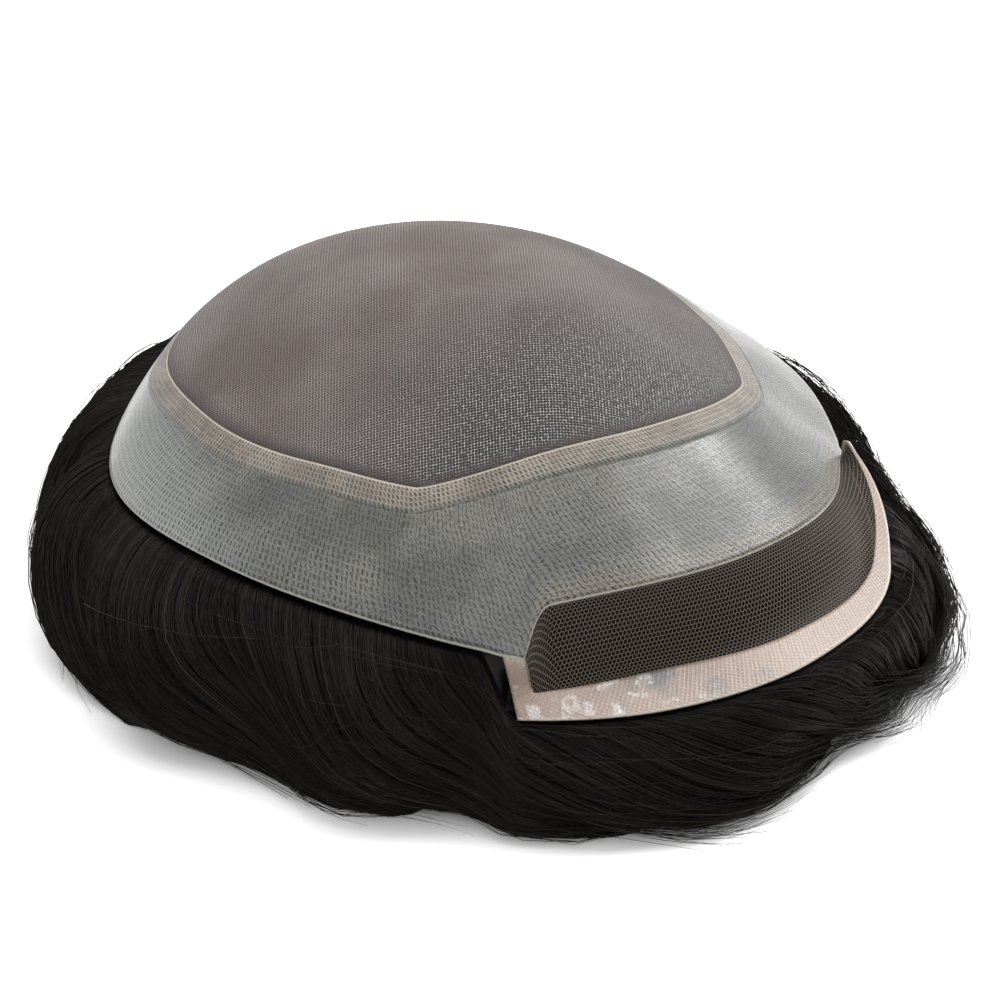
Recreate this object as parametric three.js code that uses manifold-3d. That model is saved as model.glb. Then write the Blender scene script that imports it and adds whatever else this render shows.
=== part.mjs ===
// Toupee hairpiece: a moulded base turned inside out, scalp side up, lying on its own hair.
// Millimetres, +Z up, front hairline towards -Y, origin at the bottom centre of the box.
import * as THREE from 'three';
import { mergeVertices } from 'three/addons/utils/BufferGeometryUtils.js';
import Module from 'manifold-3d';

// Driving sizes of the base
const BASE_LENGTH = 203;
const BASE_WIDTH = 172;
const CROWN_HEIGHT = 75.2;
const RIM_HEIGHT = 35;
const BASE_WALL = 1;
const SEAM_GAP = 0.35;
const LACE_SEAM = 0.7;
const RIBBON_WIDTH = 5.8;

// The crown patch is cut straight across the front between two corners.
const CROWN_FRONT = 45;
const CROWN_FRONT_BOW = 0.434;
const CROWN_FRONT_SKEW = 0.0135;
const CROWN_CORNER_HEADING = 61.9;

// The skin band ends at the front in a shallow arc with two rounded corners.
const SKIN_FRONT = 75.6;
const SKIN_FRONT_BOW = 0.229;
const SKIN_FRONT_SKEW = 0.086;
const SKIN_CORNER_HEADING = 40.4;
const SKIN_CORNER_SWEEP = 4.4;

// The front flap of lace and its tape hang from that arc between two side legs.
const TAPE_LEG_WIDTH = 4.8;
const TAPE_REACH = 94.7;
const TAPE_LIFT = 23.1;
const FLAP_FOOT_HEADING = 41.2;
const FLAP_LEAVE = 0.6;
const FLAP_ARRIVE = 0.7;
const TAPE_ROW = 0.65;

// Driving sizes of the hair
const HAIR_THICKNESS = 12;
const HAIR_CLEARANCE = 0.95;
const HAIR_REACH = 30;
const HAIR_RISE = 31;
const HAIR_SETTLE = 7;
const HAIR_FILL = 0.84;
const LOCK_COUNT = 20;
const LOCK_WIDTH = 24;
const LOCK_DEPTH = 11;
const LOCK_TUCK = 2;
const FLOOR_LIFT = 0.4;

// The dome: radius as a share of the plain oval, rim as a share of the rim height, crown patch
// edge and skin edge (drawn in at one temple) as shares of the way from the middle to the rim.
const domeTable = [
  { heading: 0, radius: 0.975, rim: 0.829, crown: 0.561, trim: 1 },
  { heading: 30, radius: 0.919, rim: 0.757, crown: 0.582, trim: 0.85 },
  { heading: 60, radius: 0.892, rim: 0.8, crown: 0.64, trim: 0.97 },
  { heading: 90, radius: 0.996, rim: 0.929, crown: 0.676, trim: 1 },
  { heading: 120, radius: 1.053, rim: 1.097, crown: 0.782, trim: 1 },
  { heading: 150, radius: 1.042, rim: 1.049, crown: 0.868, trim: 1 },
  { heading: 180, radius: 1.026, rim: 0.983, crown: 0.852, trim: 1 },
  { heading: 210, radius: 1.016, rim: 1.003, crown: 0.906, trim: 1 },
  { heading: 240, radius: 1.059, rim: 0.989, crown: 0.778, trim: 1 },
  { heading: 270, radius: 1.004, rim: 1.054, crown: 0.704, trim: 1 },
  { heading: 300, radius: 0.935, rim: 0.989, crown: 0.666, trim: 1 },
  { heading: 330, radius: 0.988, rim: 0.98, crown: 0.56, trim: 1 },
];

// How the dome falls from crown to rim: the two powers of its profile.
const domeFall = {
  front: { flatness: 1.052, drop: 1.124 },
  side: { flatness: 1.053, drop: 0.964 },
  back: { flatness: 2.231, drop: 0.6 },
};
const APEX_SOFTNESS = 0.3;

// The tape along the flap, from the wearer's one temple (-1) to the other (1): both edges,
// out as shares of the tape reach and up as shares of the tape lift.
const tapeTable = [
  { station: -1, outerReach: 0.992, outerLift: 0.931, innerReach: 0.95, innerLift: 1.08 },
  { station: -0.5, outerReach: 0.988, outerLift: 0.909, innerReach: 0.886, innerLift: 1.048 },
  { station: 0, outerReach: 1, outerLift: 1, innerReach: 0.919, innerLift: 1.104 },
  { station: 0.5, outerReach: 0.966, outerLift: 1.186, innerReach: 0.92, innerLift: 1.238 },
  { station: 1, outerReach: 0.819, outerLift: 1.719, innerReach: 0.797, innerLift: 1.537 },
];

// The hair round the rim: how far it spreads and how high it rides, as shares.
const hairTable = [
  { heading: 0, reach: 0.52, rise: 0.8 },
  { heading: 30, reach: 0.6, rise: 0.78 },
  { heading: 60, reach: 0.74, rise: 0.85 },
  { heading: 90, reach: 0.72, rise: 0.9 },
  { heading: 120, reach: 0.74, rise: 1 },
  { heading: 150, reach: 0.86, rise: 1 },
  { heading: 180, reach: 1.0, rise: 1.05 },
  { heading: 210, reach: 0.96, rise: 1.05 },
  { heading: 240, reach: 0.82, rise: 1 },
  { heading: 270, reach: 0.9, rise: 0.98 },
  { heading: 300, reach: 0.78, rise: 0.92 },
  { heading: 330, reach: 0.44, rise: 0.8 },
];

// One section of the hair's body outside the rim: out as shares of its fill of the reach, up
// as shares of its rise. The locks fill the rest of the reach.
const hairSection = [
  { out: 0.2, up: 0.98 },
  { out: 0.5, up: 0.93 },
  { out: 0.8, up: 0.72 },
  { out: 0.97, up: 0.44 },
  { out: 0.98, up: 0.2 },
  { out: 0.84, up: 0 },
];

// The locks repeat these shapes: swing in degrees round the base, reach and width as shares.
const lockPattern = [
  { swing: 44, reach: 1.06, width: 1.1 },
  { swing: 36, reach: 0.92, width: 0.8 },
  { swing: 50, reach: 1.1, width: 1 },
  { swing: 40, reach: 0.98, width: 0.9 },
];

const clamp = THREE.MathUtils.clamp;
const lerp = THREE.MathUtils.lerp;
const radians = THREE.MathUtils.degToRad;
const CIRCLE = 360;
const UP = new THREE.Vector3(0, 0, 1);

// A smooth cubic between two table values with the slopes of their neighbours.
function cubicBetween(before, start, end, after, share) {
  const slopeStart = (end - before) / 2;
  const slopeEnd = (after - start) / 2;
  const square = share * share;
  const cube = square * share;
  return start * (2 * cube - 3 * square + 1) + slopeStart * (cube - 2 * square + share)
    + end * (3 * square - 2 * cube) + slopeEnd * (cube - square);
}

// A column of a table that runs once round the base, read at any heading.
function aroundTable(table, column, heading) {
  const place = THREE.MathUtils.euclideanModulo(heading, CIRCLE) / (CIRCLE / table.length);
  const row = Math.floor(place);
  const value = (step) => table[THREE.MathUtils.euclideanModulo(row + step, table.length)][column];
  return cubicBetween(value(-1), value(0), value(1), value(2), place - row);
}

// A column of the tape table, read at any station from -1 to 1.
function alongTape(column, station) {
  const last = tapeTable.length - 1;
  const place = clamp((station + 1) / 2, 0, 1) * last;
  const row = Math.min(Math.floor(place), last - 1);
  const value = (step) => {
    const wanted = row + step;
    if (wanted < 0) return 2 * tapeTable[0][column] - tapeTable[1][column];
    if (wanted > last) return 2 * tapeTable[last][column] - tapeTable[last - 1][column];
    return tapeTable[wanted][column];
  };
  return cubicBetween(value(-1), value(0), value(1), value(2), place - row);
}

// The heading brought into the half turn either side of the front.
function fromFront(heading) {
  return THREE.MathUtils.euclideanModulo(heading + CIRCLE / 2, CIRCLE) - CIRCLE / 2;
}

function onPlan(heading, radius, height) {
  const angle = radians(heading);
  return new THREE.Vector3(radius * Math.sin(angle), -radius * Math.cos(angle), height);
}

function rimRadius(heading) {
  const angle = radians(heading);
  const oval = 1 / Math.hypot(Math.sin(angle) / (BASE_WIDTH / 2), Math.cos(angle) / (BASE_LENGTH / 2));
  return oval * aroundTable(domeTable, 'radius', heading);
}

function rimHeight(heading) {
  return RIM_HEIGHT * aroundTable(domeTable, 'rim', heading);
}

// Height of the dome over a plan point.
function domeHeight(heading, radius) {
  const cosine = Math.cos(radians(heading));
  const end = cosine > 0 ? domeFall.front : domeFall.back;
  const flatness = lerp(domeFall.side.flatness, end.flatness, cosine * cosine);
  const drop = lerp(domeFall.side.drop, end.drop, cosine * cosine);
  const share = radius / rimRadius(heading);
  const soft = Math.hypot(share, APEX_SOFTNESS) - APEX_SOFTNESS;
  const span = Math.hypot(1, APEX_SOFTNESS) - APEX_SOFTNESS;
  const rim = rimHeight(heading);
  return rim + (CROWN_HEIGHT - rim) * Math.max(1 - (soft / span) ** flatness, 0) ** drop;
}

function domePoint(heading, radius) {
  return onPlan(heading, radius, domeHeight(heading, radius));
}

// Steepness of the dome outwards, as height lost for each millimetre out. Past the rim the
// dome still falls as it does just inside.
function domeSlope(heading, radius) {
  const step = 0.5;
  const inside = Math.min(radius, rimRadius(heading) - 2 * step);
  return (domeHeight(heading, inside - step) - domeHeight(heading, inside + step)) / (2 * step);
}

// The direction off a surface whose first number runs round the base and whose second runs out.
function surfaceNormal(surface, around, out, aroundStep, outStep) {
  const across = surface(around + aroundStep, out).sub(surface(around - aroundStep, out));
  const down = surface(around, out + outStep).sub(surface(around, out - outStep));
  return down.cross(across).normalize();
}

// The middle faces straight up, and at the rim the dome still faces as it does just inside.
function domeNormal(heading, radius) {
  const inside = Math.min(radius, rimRadius(heading) - 1);
  return radius < 1 ? UP.clone() : surfaceNormal(domePoint, heading, inside, 1, 0.5);
}

// Edge of the crown patch: the table round the sides and back, a flat arc across the front.
function crownEdge(heading) {
  const turned = fromFront(heading);
  const side = rimRadius(heading) * aroundTable(domeTable, 'crown', heading);
  if (Math.abs(turned) > CROWN_CORNER_HEADING) return side;
  const angle = radians(turned);
  const bow = CROWN_FRONT_BOW * (turned / CROWN_CORNER_HEADING) ** 2;
  const skew = CROWN_FRONT_SKEW * Math.sin(angle) * rimRadius(heading);
  return CROWN_FRONT / Math.cos(angle) * (1 - bow) - skew;
}

// Headings where a ring has its sections: even steps, with the chosen places on both sides.
function ringHeadings(step, chosen) {
  const places = chosen.flatMap((place) => [place, CIRCLE - place]);
  const spare = Array.from({ length: Math.round(CIRCLE / step) }, (unused, index) => index * step)
    .filter((heading) => places.every((place) => Math.abs(place - heading) > step / 3));
  return [...places, ...spare].sort((first, second) => first - second);
}

// The crown edge moved outwards by a distance measured over the dome, with mitred corners.
function crownOffset(distance) {
  const places = ringHeadings(4, [CROWN_CORNER_HEADING]);
  const points = places.map((heading) => onPlan(heading, crownEdge(heading), 0));
  const count = points.length;
  const normals = points.map((point, index) => {
    const next = points[(index + 1) % count];
    return new THREE.Vector3(next.y - point.y, point.x - next.x, 0).normalize();
  });
  const moved = points.map((point, index) => {
    const before = normals[(index + count - 1) % count];
    const mitre = before.clone().add(normals[index]).normalize();
    const steep = Math.atan(domeSlope(places[index], crownEdge(places[index])));
    const away = distance * Math.cos(steep) / mitre.dot(before);
    return point.clone().addScaledVector(mitre, away);
  });
  return (heading) => {
    const ray = onPlan(heading, 1, 0);
    const side = new THREE.Vector3(-ray.y, ray.x, 0);
    for (let index = 0; index < count; index += 1) {
      const from = moved[index];
      const to = moved[(index + 1) % count];
      const [start, end] = [from.dot(side), to.dot(side)];
      if (from.dot(ray) > 0 && start <= 0 && end > 0) {
        return lerp(from.dot(ray), to.dot(ray), start / (start - end));
      }
    }
    return crownEdge(heading);
  };
}

// Edge of the skin band: the rim, then at the front an arc reached over a rounded corner.
function skinEdge(heading) {
  const turned = fromFront(heading);
  const rim = rimRadius(heading) * aroundTable(domeTable, 'trim', heading);
  const into = clamp((SKIN_CORNER_HEADING - Math.abs(turned)) / SKIN_CORNER_SWEEP, 0, 1);
  if (into === 0) return rim;
  const angle = radians(turned);
  const bow = SKIN_FRONT_BOW * (turned / SKIN_CORNER_HEADING) ** 2;
  const front = SKIN_FRONT * ((1 - bow) / Math.cos(angle) - SKIN_FRONT_SKEW * Math.sin(angle));
  return lerp(rim, front, 1 - (1 - into) ** 3);
}

// Stations are shares of the flap's half width, and rows are shares of its fall.
const FLAP_TOP_HEADING = SKIN_CORNER_HEADING + THREE.MathUtils.radToDeg(TAPE_LEG_WIDTH / TAPE_REACH);
const LEG_STATION = SKIN_CORNER_HEADING / FLAP_TOP_HEADING;

// Where a station of the flap meets the skin, one seam gap clear of its edge all round.
function flapTop(station) {
  const heading = station * FLAP_TOP_HEADING;
  const seamTurn = THREE.MathUtils.radToDeg(SEAM_GAP / SKIN_FRONT) * Math.sign(station);
  return { heading, radius: skinEdge(heading + seamTurn) + SEAM_GAP };
}

// The flap: across it from temple to temple, down it from the skin's edge to the tape's foot.
// The lace leaves the dome along its slope and flares into the tape.
function flapPoint(station, row) {
  const heading = station * lerp(FLAP_TOP_HEADING, FLAP_FOOT_HEADING, row);
  const { heading: topHeading, radius: topRadius } = flapTop(station);
  const top = new THREE.Vector2(topRadius, domeHeight(topHeading, topRadius));
  const inner = new THREE.Vector2(
    TAPE_REACH * alongTape('innerReach', station), TAPE_LIFT * alongTape('innerLift', station));
  const outer = new THREE.Vector2(
    TAPE_REACH * alongTape('outerReach', station), TAPE_LIFT * alongTape('outerLift', station));
  if (row >= TAPE_ROW) {
    const across = inner.clone().lerp(outer, (row - TAPE_ROW) / (1 - TAPE_ROW));
    return onPlan(heading, across.x, across.y);
  }
  const chord = top.distanceTo(inner);
  const leave = new THREE.Vector2(1, -domeSlope(topHeading, topRadius)).setLength(FLAP_LEAVE * chord);
  const arrive = outer.clone().sub(inner).setLength(FLAP_ARRIVE * chord);
  const share = row / TAPE_ROW;
  const square = share * share;
  const cube = square * share;
  const across = top.clone().multiplyScalar(2 * cube - 3 * square + 1)
    .addScaledVector(leave, cube - 2 * square + share)
    .addScaledVector(inner, 3 * square - 2 * cube)
    .addScaledVector(arrive, cube - square);
  return onPlan(heading, across.x, across.y);
}

// At its top row the flap lies flush with the dome.
function flapNormal(station, row) {
  if (row === 0) return domeNormal(flapTop(station).heading, flapTop(station).radius);
  return surfaceNormal(flapPoint, station, row, 0.08, 0.01);
}

// A geometry from points and corner numbers, with faces that have no area left out.
function solidGeometry(points, faces) {
  const geometry = new THREE.BufferGeometry();
  const positions = points.flatMap((point) => point.toArray());
  geometry.setAttribute('position', new THREE.Float32BufferAttribute(positions, 3));
  geometry.setIndex(faces.flat());
  const merged = mergeVertices(geometry, 1e-4);
  const index = merged.getIndex().array;
  const kept = [];
  for (let corner = 0; corner < index.length; corner += 3) {
    const [first, second, third] = index.slice(corner, corner + 3);
    if (first !== second && second !== third && third !== first) kept.push(first, second, third);
  }
  merged.setIndex(kept);
  merged.computeVertexNormals();
  return merged;
}

// Closed wall under a grid of surface spots: rows run outwards and columns round the base.
// The mask says which cells the piece covers, and closed grids join their last column to the first.
function wallFromGrid(grid, closed, covers, depth = BASE_WALL) {
  const rows = grid.length;
  const columns = grid[0].length;
  const wrap = (column) => (closed ? column % columns : column);
  const upper = grid.flat().map((spot) => spot.point);
  const lower = grid.flat().map((spot) => spot.point.clone().addScaledVector(spot.normal, -depth));
  const top = (row, column) => row * columns + wrap(column);
  const under = (row, column) => upper.length + top(row, column);
  const cellColumns = closed ? columns : columns - 1;
  const inside = (row, column) => row >= 0 && row < rows - 1
    && (closed || (column >= 0 && column < cellColumns))
    && covers(row, (column + cellColumns) % cellColumns);
  const faces = [];
  const quad = (first, second, third, fourth) => {
    faces.push([first, second, third], [first, third, fourth]);
  };
  for (let row = 0; row < rows - 1; row += 1) {
    for (let column = 0; column < cellColumns; column += 1) {
      if (!inside(row, column)) continue;
      const corners = [[row, column], [row + 1, column], [row + 1, column + 1], [row, column + 1]];
      quad(...corners.map(([line, place]) => top(line, place)));
      quad(...[0, 3, 2, 1].map((corner) => under(...corners[corner])));
      const neighbours = [[row, column - 1], [row + 1, column], [row, column + 1], [row - 1, column]];
      neighbours.forEach(([line, place], side) => {
        if (inside(line, place)) return;
        const from = corners[side];
        const to = corners[(side + 1) % 4];
        quad(top(...to), top(...from), under(...from), under(...to));
      });
    }
  }
  return solidGeometry([...upper, ...lower], faces);
}

const everyCell = () => true;

function domeSpot(heading, radius) {
  return { point: domePoint(heading, radius), normal: domeNormal(heading, radius) };
}

function flapSpot(station, row) {
  return { point: flapPoint(station, row), normal: flapNormal(station, row) };
}

// The skin turns its front corners over these headings, and every ring has a section there.
const cornerHeadings = [0, 0.15, 0.35, 0.65, 1].map(
  (share) => SKIN_CORNER_HEADING - share * SKIN_CORNER_SWEEP);
const besideFlap = { under: FLAP_TOP_HEADING + 0.9, clear: FLAP_TOP_HEADING + 2.2 };
const headings = ringHeadings(8, [
  ...cornerHeadings, FLAP_TOP_HEADING, besideFlap.under, besideFlap.clear, CROWN_CORNER_HEADING]);
const CROWN_RINGS = [0, 0.3, 0.65, 1];
const SKIN_RINGS = [0, 0.33, 0.67, 1];

// A ring of the dome between two edges.
function domeBand(innerEdge, outerEdge, rings) {
  const grid = rings.map((ring) => headings.map(
    (heading) => domeSpot(heading, lerp(innerEdge(heading), outerEdge(heading), ring))));
  return wallFromGrid(grid, true, everyCell);
}

const ribbonInner = crownOffset(SEAM_GAP);
const ribbonOuter = crownOffset(SEAM_GAP + RIBBON_WIDTH);
const skinInner = crownOffset(2 * SEAM_GAP + RIBBON_WIDTH);

function crownMesh() {
  return domeBand(() => 0, crownEdge, CROWN_RINGS);
}

function bindingRibbon() {
  return domeBand(ribbonInner, ribbonOuter, [0, 1]);
}

function skinBand() {
  return domeBand(skinInner, skinEdge, SKIN_RINGS);
}

// Stations across the flap: its middle, even steps, the skin's corners and a limit at each side.
function flapStations(limit) {
  const half = headings.map((heading) => heading / FLAP_TOP_HEADING)
    .filter((place) => place < limit - 0.005);
  const all = [...half, limit];
  return [...all.slice(1).reverse().map((place) => -place), ...all];
}

const LACE_ROWS = [0, 0.25, 0.5, 0.75, 1];
const FLAP_ROWS = [...LACE_ROWS.map((share) => share * TAPE_ROW), 1];

// Length of the lace down the flap at a station.
function laceFall(station) {
  const points = LACE_ROWS.map((share) => flapPoint(station, share * TAPE_ROW));
  return points.slice(1).reduce((length, point, index) => length + point.distanceTo(points[index]), 0);
}

function frontLace() {
  const seam = THREE.MathUtils.radToDeg(LACE_SEAM / SKIN_FRONT) / FLAP_TOP_HEADING;
  const stations = flapStations(LEG_STATION - seam);
  const grid = LACE_ROWS.map((share) => stations.map(
    (station) => flapSpot(station, share * TAPE_ROW * (1 - LACE_SEAM / laceFall(station)))));
  return wallFromGrid(grid, false, everyCell);
}

function frontTape() {
  const inner = flapStations(LEG_STATION);
  const stations = [-1, ...inner, 1];
  const grid = FLAP_ROWS.map((row) => stations.map((station) => flapSpot(station, row)));
  const legRows = FLAP_ROWS.length - 2;
  const lastColumn = stations.length - 2;
  return wallFromGrid(grid, false,
    (row, column) => row >= legRows || column === 0 || column === lastColumn);
}

// The room the flap takes up, with a seam gap under it.
function flapRoom() {
  const stations = [-1, ...flapStations(LEG_STATION), 1];
  const grid = FLAP_ROWS.map((row) => stations.map((station) => flapSpot(station, row)));
  return wallFromGrid(grid, false, everyCell, BASE_WALL + SEAM_GAP);
}

// The section of the base over one heading, moved off its surface by a depth. Beside the
// flap, where the base ends at its rim, the flap's rows bunch up under the rim.
function underBase(heading, depth) {
  const turned = fromFront(heading);
  const hasFlap = Math.abs(turned) <= besideFlap.under;
  const station = clamp(turned / FLAP_TOP_HEADING, -1, 1);
  const past = radians(turned - station * FLAP_TOP_HEADING);
  const edge = skinEdge(heading);
  const radii = [
    ...CROWN_RINGS.map((ring) => crownEdge(heading) * ring),
    ribbonOuter(heading),
    ...SKIN_RINGS.slice(1, -1).map((ring) => lerp(skinInner(heading), edge, ring)),
  ];
  const dome = radii.map((radius) => domeSpot(heading, radius));
  const flap = FLAP_ROWS.map(
    (row) => (hasFlap ? flapSpot(station, row) : domeSpot(heading, edge * lerp(0.97, 1, row))));
  const lowered = ({ point, normal }) => point.clone().addScaledVector(normal, -depth);
  const turn = hasFlap ? past : 0;
  return [...dome.map(lowered), ...flap.map((spot) => lowered(spot).applyAxisAngle(UP, turn))];
}

// The hair only falls on its way out: where the flap curls up, the hair stays level below it.
function fallingLine(points) {
  const line = [points[0]];
  for (const point of points.slice(1)) {
    const last = line[line.length - 1];
    const spread = Math.max(Math.hypot(last.x, last.y) / Math.hypot(point.x, point.y), 1);
    const rises = point.z > last.z;
    line.push(rises ? new THREE.Vector3(point.x * spread, point.y * spread, last.z) : point);
  }
  return line;
}

// The hair's surface under the base over one heading.
function hairUnder(heading) {
  const under = underBase(heading, BASE_WALL + HAIR_CLEARANCE);
  const flapStart = under.length - FLAP_ROWS.length;
  return [...under.slice(0, flapStart), ...fallingLine(under.slice(flapStart))];
}

// Where the hair comes out from under the base. Beside the flap it still comes out as low as
// under the flap's foot, and rises to the rim over the settling turn.
function hairEdge(heading) {
  const own = hairUnder(heading).pop();
  const turned = fromFront(heading);
  const past = (Math.abs(turned) - besideFlap.under) / HAIR_SETTLE;
  if (past <= 0 || past >= 1) return own;
  const last = hairUnder(Math.sign(turned) * besideFlap.under).pop();
  const along = new THREE.Vector2(Math.hypot(last.x, last.y), last.z)
    .lerp(new THREE.Vector2(Math.hypot(own.x, own.y), own.z), THREE.MathUtils.smoothstep(past, 0, 1));
  return onPlan(heading, along.x, along.y);
}

const HOLLOW_RINGS = [0, 1, 2, 4];

// One column of the hair: under the base, out past its edge, along the floor and up its hollow.
function hairColumn(heading) {
  const edge = hairEdge(heading);
  const surface = [...hairUnder(heading), edge];
  const reach = HAIR_REACH * aroundTable(hairTable, 'reach', heading);
  const rise = Math.min(HAIR_RISE * aroundTable(hairTable, 'rise', heading), edge.z);
  const outwards = edge.clone().setZ(0).normalize();
  const outside = hairSection.map(
    ({ out, up }) => edge.clone().setZ(up * rise).addScaledVector(outwards, out * reach * HAIR_FILL));
  const hollow = underBase(heading, BASE_WALL + HAIR_CLEARANCE + HAIR_THICKNESS)
    .filter((point, index) => HOLLOW_RINGS.includes(index)).reverse();
  return [...surface, ...outside, hollow[0].clone().setZ(0), ...hollow];
}

// Faces of a closed skin whose first and last rows each shrink to a point.
function skinFromGrid(grid) {
  const columns = grid[0].length;
  const faces = [];
  for (let row = 0; row < grid.length - 1; row += 1) {
    for (let column = 0; column < columns; column += 1) {
      const next = (column + 1) % columns;
      const [first, second] = [row * columns + column, row * columns + next];
      const [third, fourth] = [second + columns, first + columns];
      faces.push([first, fourth, third], [first, third, second]);
    }
  }
  return solidGeometry(grid.flat(), faces);
}

function hairBody() {
  const columns = headings.map(hairColumn);
  const grid = columns[0].map((unused, row) => columns.map((column) => column[row]));
  return skinFromGrid(grid);
}

// How a lock runs, in shares of its length: how its swing grows, where it has spread out
// fully, where its thickest place is and how thick its ends are. Its core is the line it
// wraps round, out as a share of its reach and up as a share of its rise.
const lockRun = {
  swingPower: 1.7, spreadBy: 0.8, thickest: 0.35, endWidth: 0.3, coreOut: 0.3, coreUp: 0.4,
};

// The middle of a lock: it leaves the base's edge, swings round as it spreads and tucks under.
function lockPlace(heading, shape, share) {
  const place = heading + shape.swing * Math.max(share, 0) ** lockRun.swingPower;
  const edge = hairEdge(place);
  const reach = HAIR_REACH * aroundTable(hairTable, 'reach', place) * shape.reach;
  const rise = Math.min(HAIR_RISE * aroundTable(hairTable, 'rise', place), edge.z) - LOCK_DEPTH / 2;
  const spread = Math.sin(Math.PI / 2 * Math.min(share / lockRun.spreadBy, 1));
  const drop = THREE.MathUtils.smoothstep(share, 0, 1);
  const outwards = edge.clone().setZ(0).normalize();
  const point = edge.clone().setZ(lerp(rise, LOCK_DEPTH / 2, drop))
    .addScaledVector(outwards, (reach - LOCK_DEPTH / 2) * spread - LOCK_TUCK);
  const core = edge.clone().setZ(rise * lockRun.coreUp)
    .addScaledVector(outwards, reach * lockRun.coreOut);
  return { point, away: point.clone().sub(core).normalize() };
}

// A lock is a flattened tube, fullest in its first half.
function hairLock(heading, shape) {
  const steps = 8;
  const sides = 8;
  const tick = 0.02;
  const rows = Array.from({ length: steps + 1 }, (unused, step) => {
    const share = step / steps;
    const { point, away } = lockPlace(heading, shape, share);
    const along = lockPlace(heading, shape, share + tick).point
      .sub(lockPlace(heading, shape, share - tick).point).normalize();
    const sideways = along.clone().cross(away).normalize();
    const upwards = sideways.clone().cross(along);
    const place = Math.min(share + 0.5 - lockRun.thickest, 1);
    const fullness = lerp(lockRun.endWidth, 1, Math.sin(Math.PI * place));
    return Array.from({ length: sides }, (unusedSide, side) => {
      const angle = 2 * Math.PI * side / sides;
      const skin = point.clone()
        .addScaledVector(sideways, shape.width * fullness * LOCK_WIDTH / 2 * Math.cos(angle))
        .addScaledVector(upwards, fullness * LOCK_DEPTH / 2 * Math.sin(angle));
      return skin.setZ(Math.max(skin.z, FLOOR_LIFT));
    });
  });
  const end = (share) => Array.from({ length: sides }, () => lockPlace(heading, shape, share).point);
  return skinFromGrid([end(0), ...rows, end(1)]);
}

const wasm = await Module();
wasm.setup();

function asSolid(geometry) {
  const vertProperties = geometry.getAttribute('position').array;
  const triVerts = new Uint32Array(geometry.getIndex().array);
  return new wasm.Manifold(new wasm.Mesh({ numProp: 3, vertProperties, triVerts }));
}

function asGeometry(solid) {
  const mesh = solid.getMesh();
  const geometry = new THREE.BufferGeometry();
  geometry.setAttribute('position', new THREE.BufferAttribute(mesh.vertProperties, 3));
  geometry.setIndex(new THREE.BufferAttribute(mesh.triVerts, 1));
  geometry.computeVertexNormals();
  return geometry;
}

function hair() {
  let solid = asSolid(hairBody());
  for (let lock = 0; lock < LOCK_COUNT; lock += 1) {
    const heading = CIRCLE * lock / LOCK_COUNT;
    solid = solid.add(asSolid(hairLock(heading, lockPattern[lock % lockPattern.length])));
  }
  return asGeometry(solid.subtract(asSolid(flapRoom())));
}

const finishes = {
  crown_mesh: { color: 0x5c514e, roughness: 0.9 },
  binding_ribbon: { color: 0xa89c90, roughness: 0.8 },
  skin_band: { color: 0x8f928a, roughness: 0.35 },
  front_lace: { color: 0x4a4038, roughness: 0.9 },
  front_tape: { color: 0xc3ada0, roughness: 0.6 },
  hair: { color: 0x14110f, roughness: 0.45 },
};

function piece(name, geometry) {
  const material = new THREE.MeshStandardMaterial({ ...finishes[name], metalness: 0 });
  const mesh = new THREE.Mesh(geometry, material);
  mesh.name = name;
  return mesh;
}

const toupee = new THREE.Group();
toupee.add(
  piece('crown_mesh', crownMesh()),
  piece('binding_ribbon', bindingRibbon()),
  piece('skin_band', skinBand()),
  piece('front_lace', frontLace()),
  piece('front_tape', frontTape()),
  piece('hair', hair()),
);

const bounds = new THREE.Box3().setFromObject(toupee);
const middle = bounds.getCenter(new THREE.Vector3());
toupee.position.set(-middle.x, -middle.y, -bounds.min.z);

export default toupee;
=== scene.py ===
"""Dresses the toupee hairpiece: a moulded base, scalp side up, lying on its own dark hair."""
import logging
import math
from dataclasses import dataclass
from enum import Enum

import bmesh
import bpy
import numpy as np
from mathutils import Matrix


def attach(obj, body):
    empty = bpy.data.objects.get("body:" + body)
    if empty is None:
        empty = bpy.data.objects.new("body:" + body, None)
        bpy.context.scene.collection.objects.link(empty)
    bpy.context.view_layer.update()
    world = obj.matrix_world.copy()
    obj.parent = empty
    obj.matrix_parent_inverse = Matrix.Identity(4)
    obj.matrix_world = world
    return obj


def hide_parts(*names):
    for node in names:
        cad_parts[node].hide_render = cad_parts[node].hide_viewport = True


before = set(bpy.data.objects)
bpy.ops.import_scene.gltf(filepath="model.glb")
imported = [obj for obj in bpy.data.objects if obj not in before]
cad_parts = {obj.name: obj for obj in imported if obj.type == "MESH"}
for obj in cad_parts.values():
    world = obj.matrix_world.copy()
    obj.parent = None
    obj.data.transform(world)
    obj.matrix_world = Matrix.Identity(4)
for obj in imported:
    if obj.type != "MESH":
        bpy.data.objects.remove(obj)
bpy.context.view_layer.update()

LOG = logging.getLogger("toupee")
MM = 0.001
SEED = 20
Array = np.ndarray
Color = tuple[float, float, float]


class StrandSet(Enum):
    """The sets of single hairs."""

    SIDE_BACK = "side_back"
    SIDE = "side"
    FRONT = "front"
    CORNER = "corner"
    FAR_SIDE = "far_side"
    TUFTS = "tufts"
    STRAYS = "strays"


def cubic(before: Array, start: Array, end: Array, after: Array, share: Array) -> Array:
    """Smooth cubic from start to end, whose end slopes are half the gap between neighbours."""
    square, cube = share**2, share**3
    return (
        start * (2 * cube - 3 * square + 1)
        + (end - before) / 2 * (cube - 2 * square + share)
        + end * (3 * square - 2 * cube)
        + (after - start) / 2 * (cube - square)
    )


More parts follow.
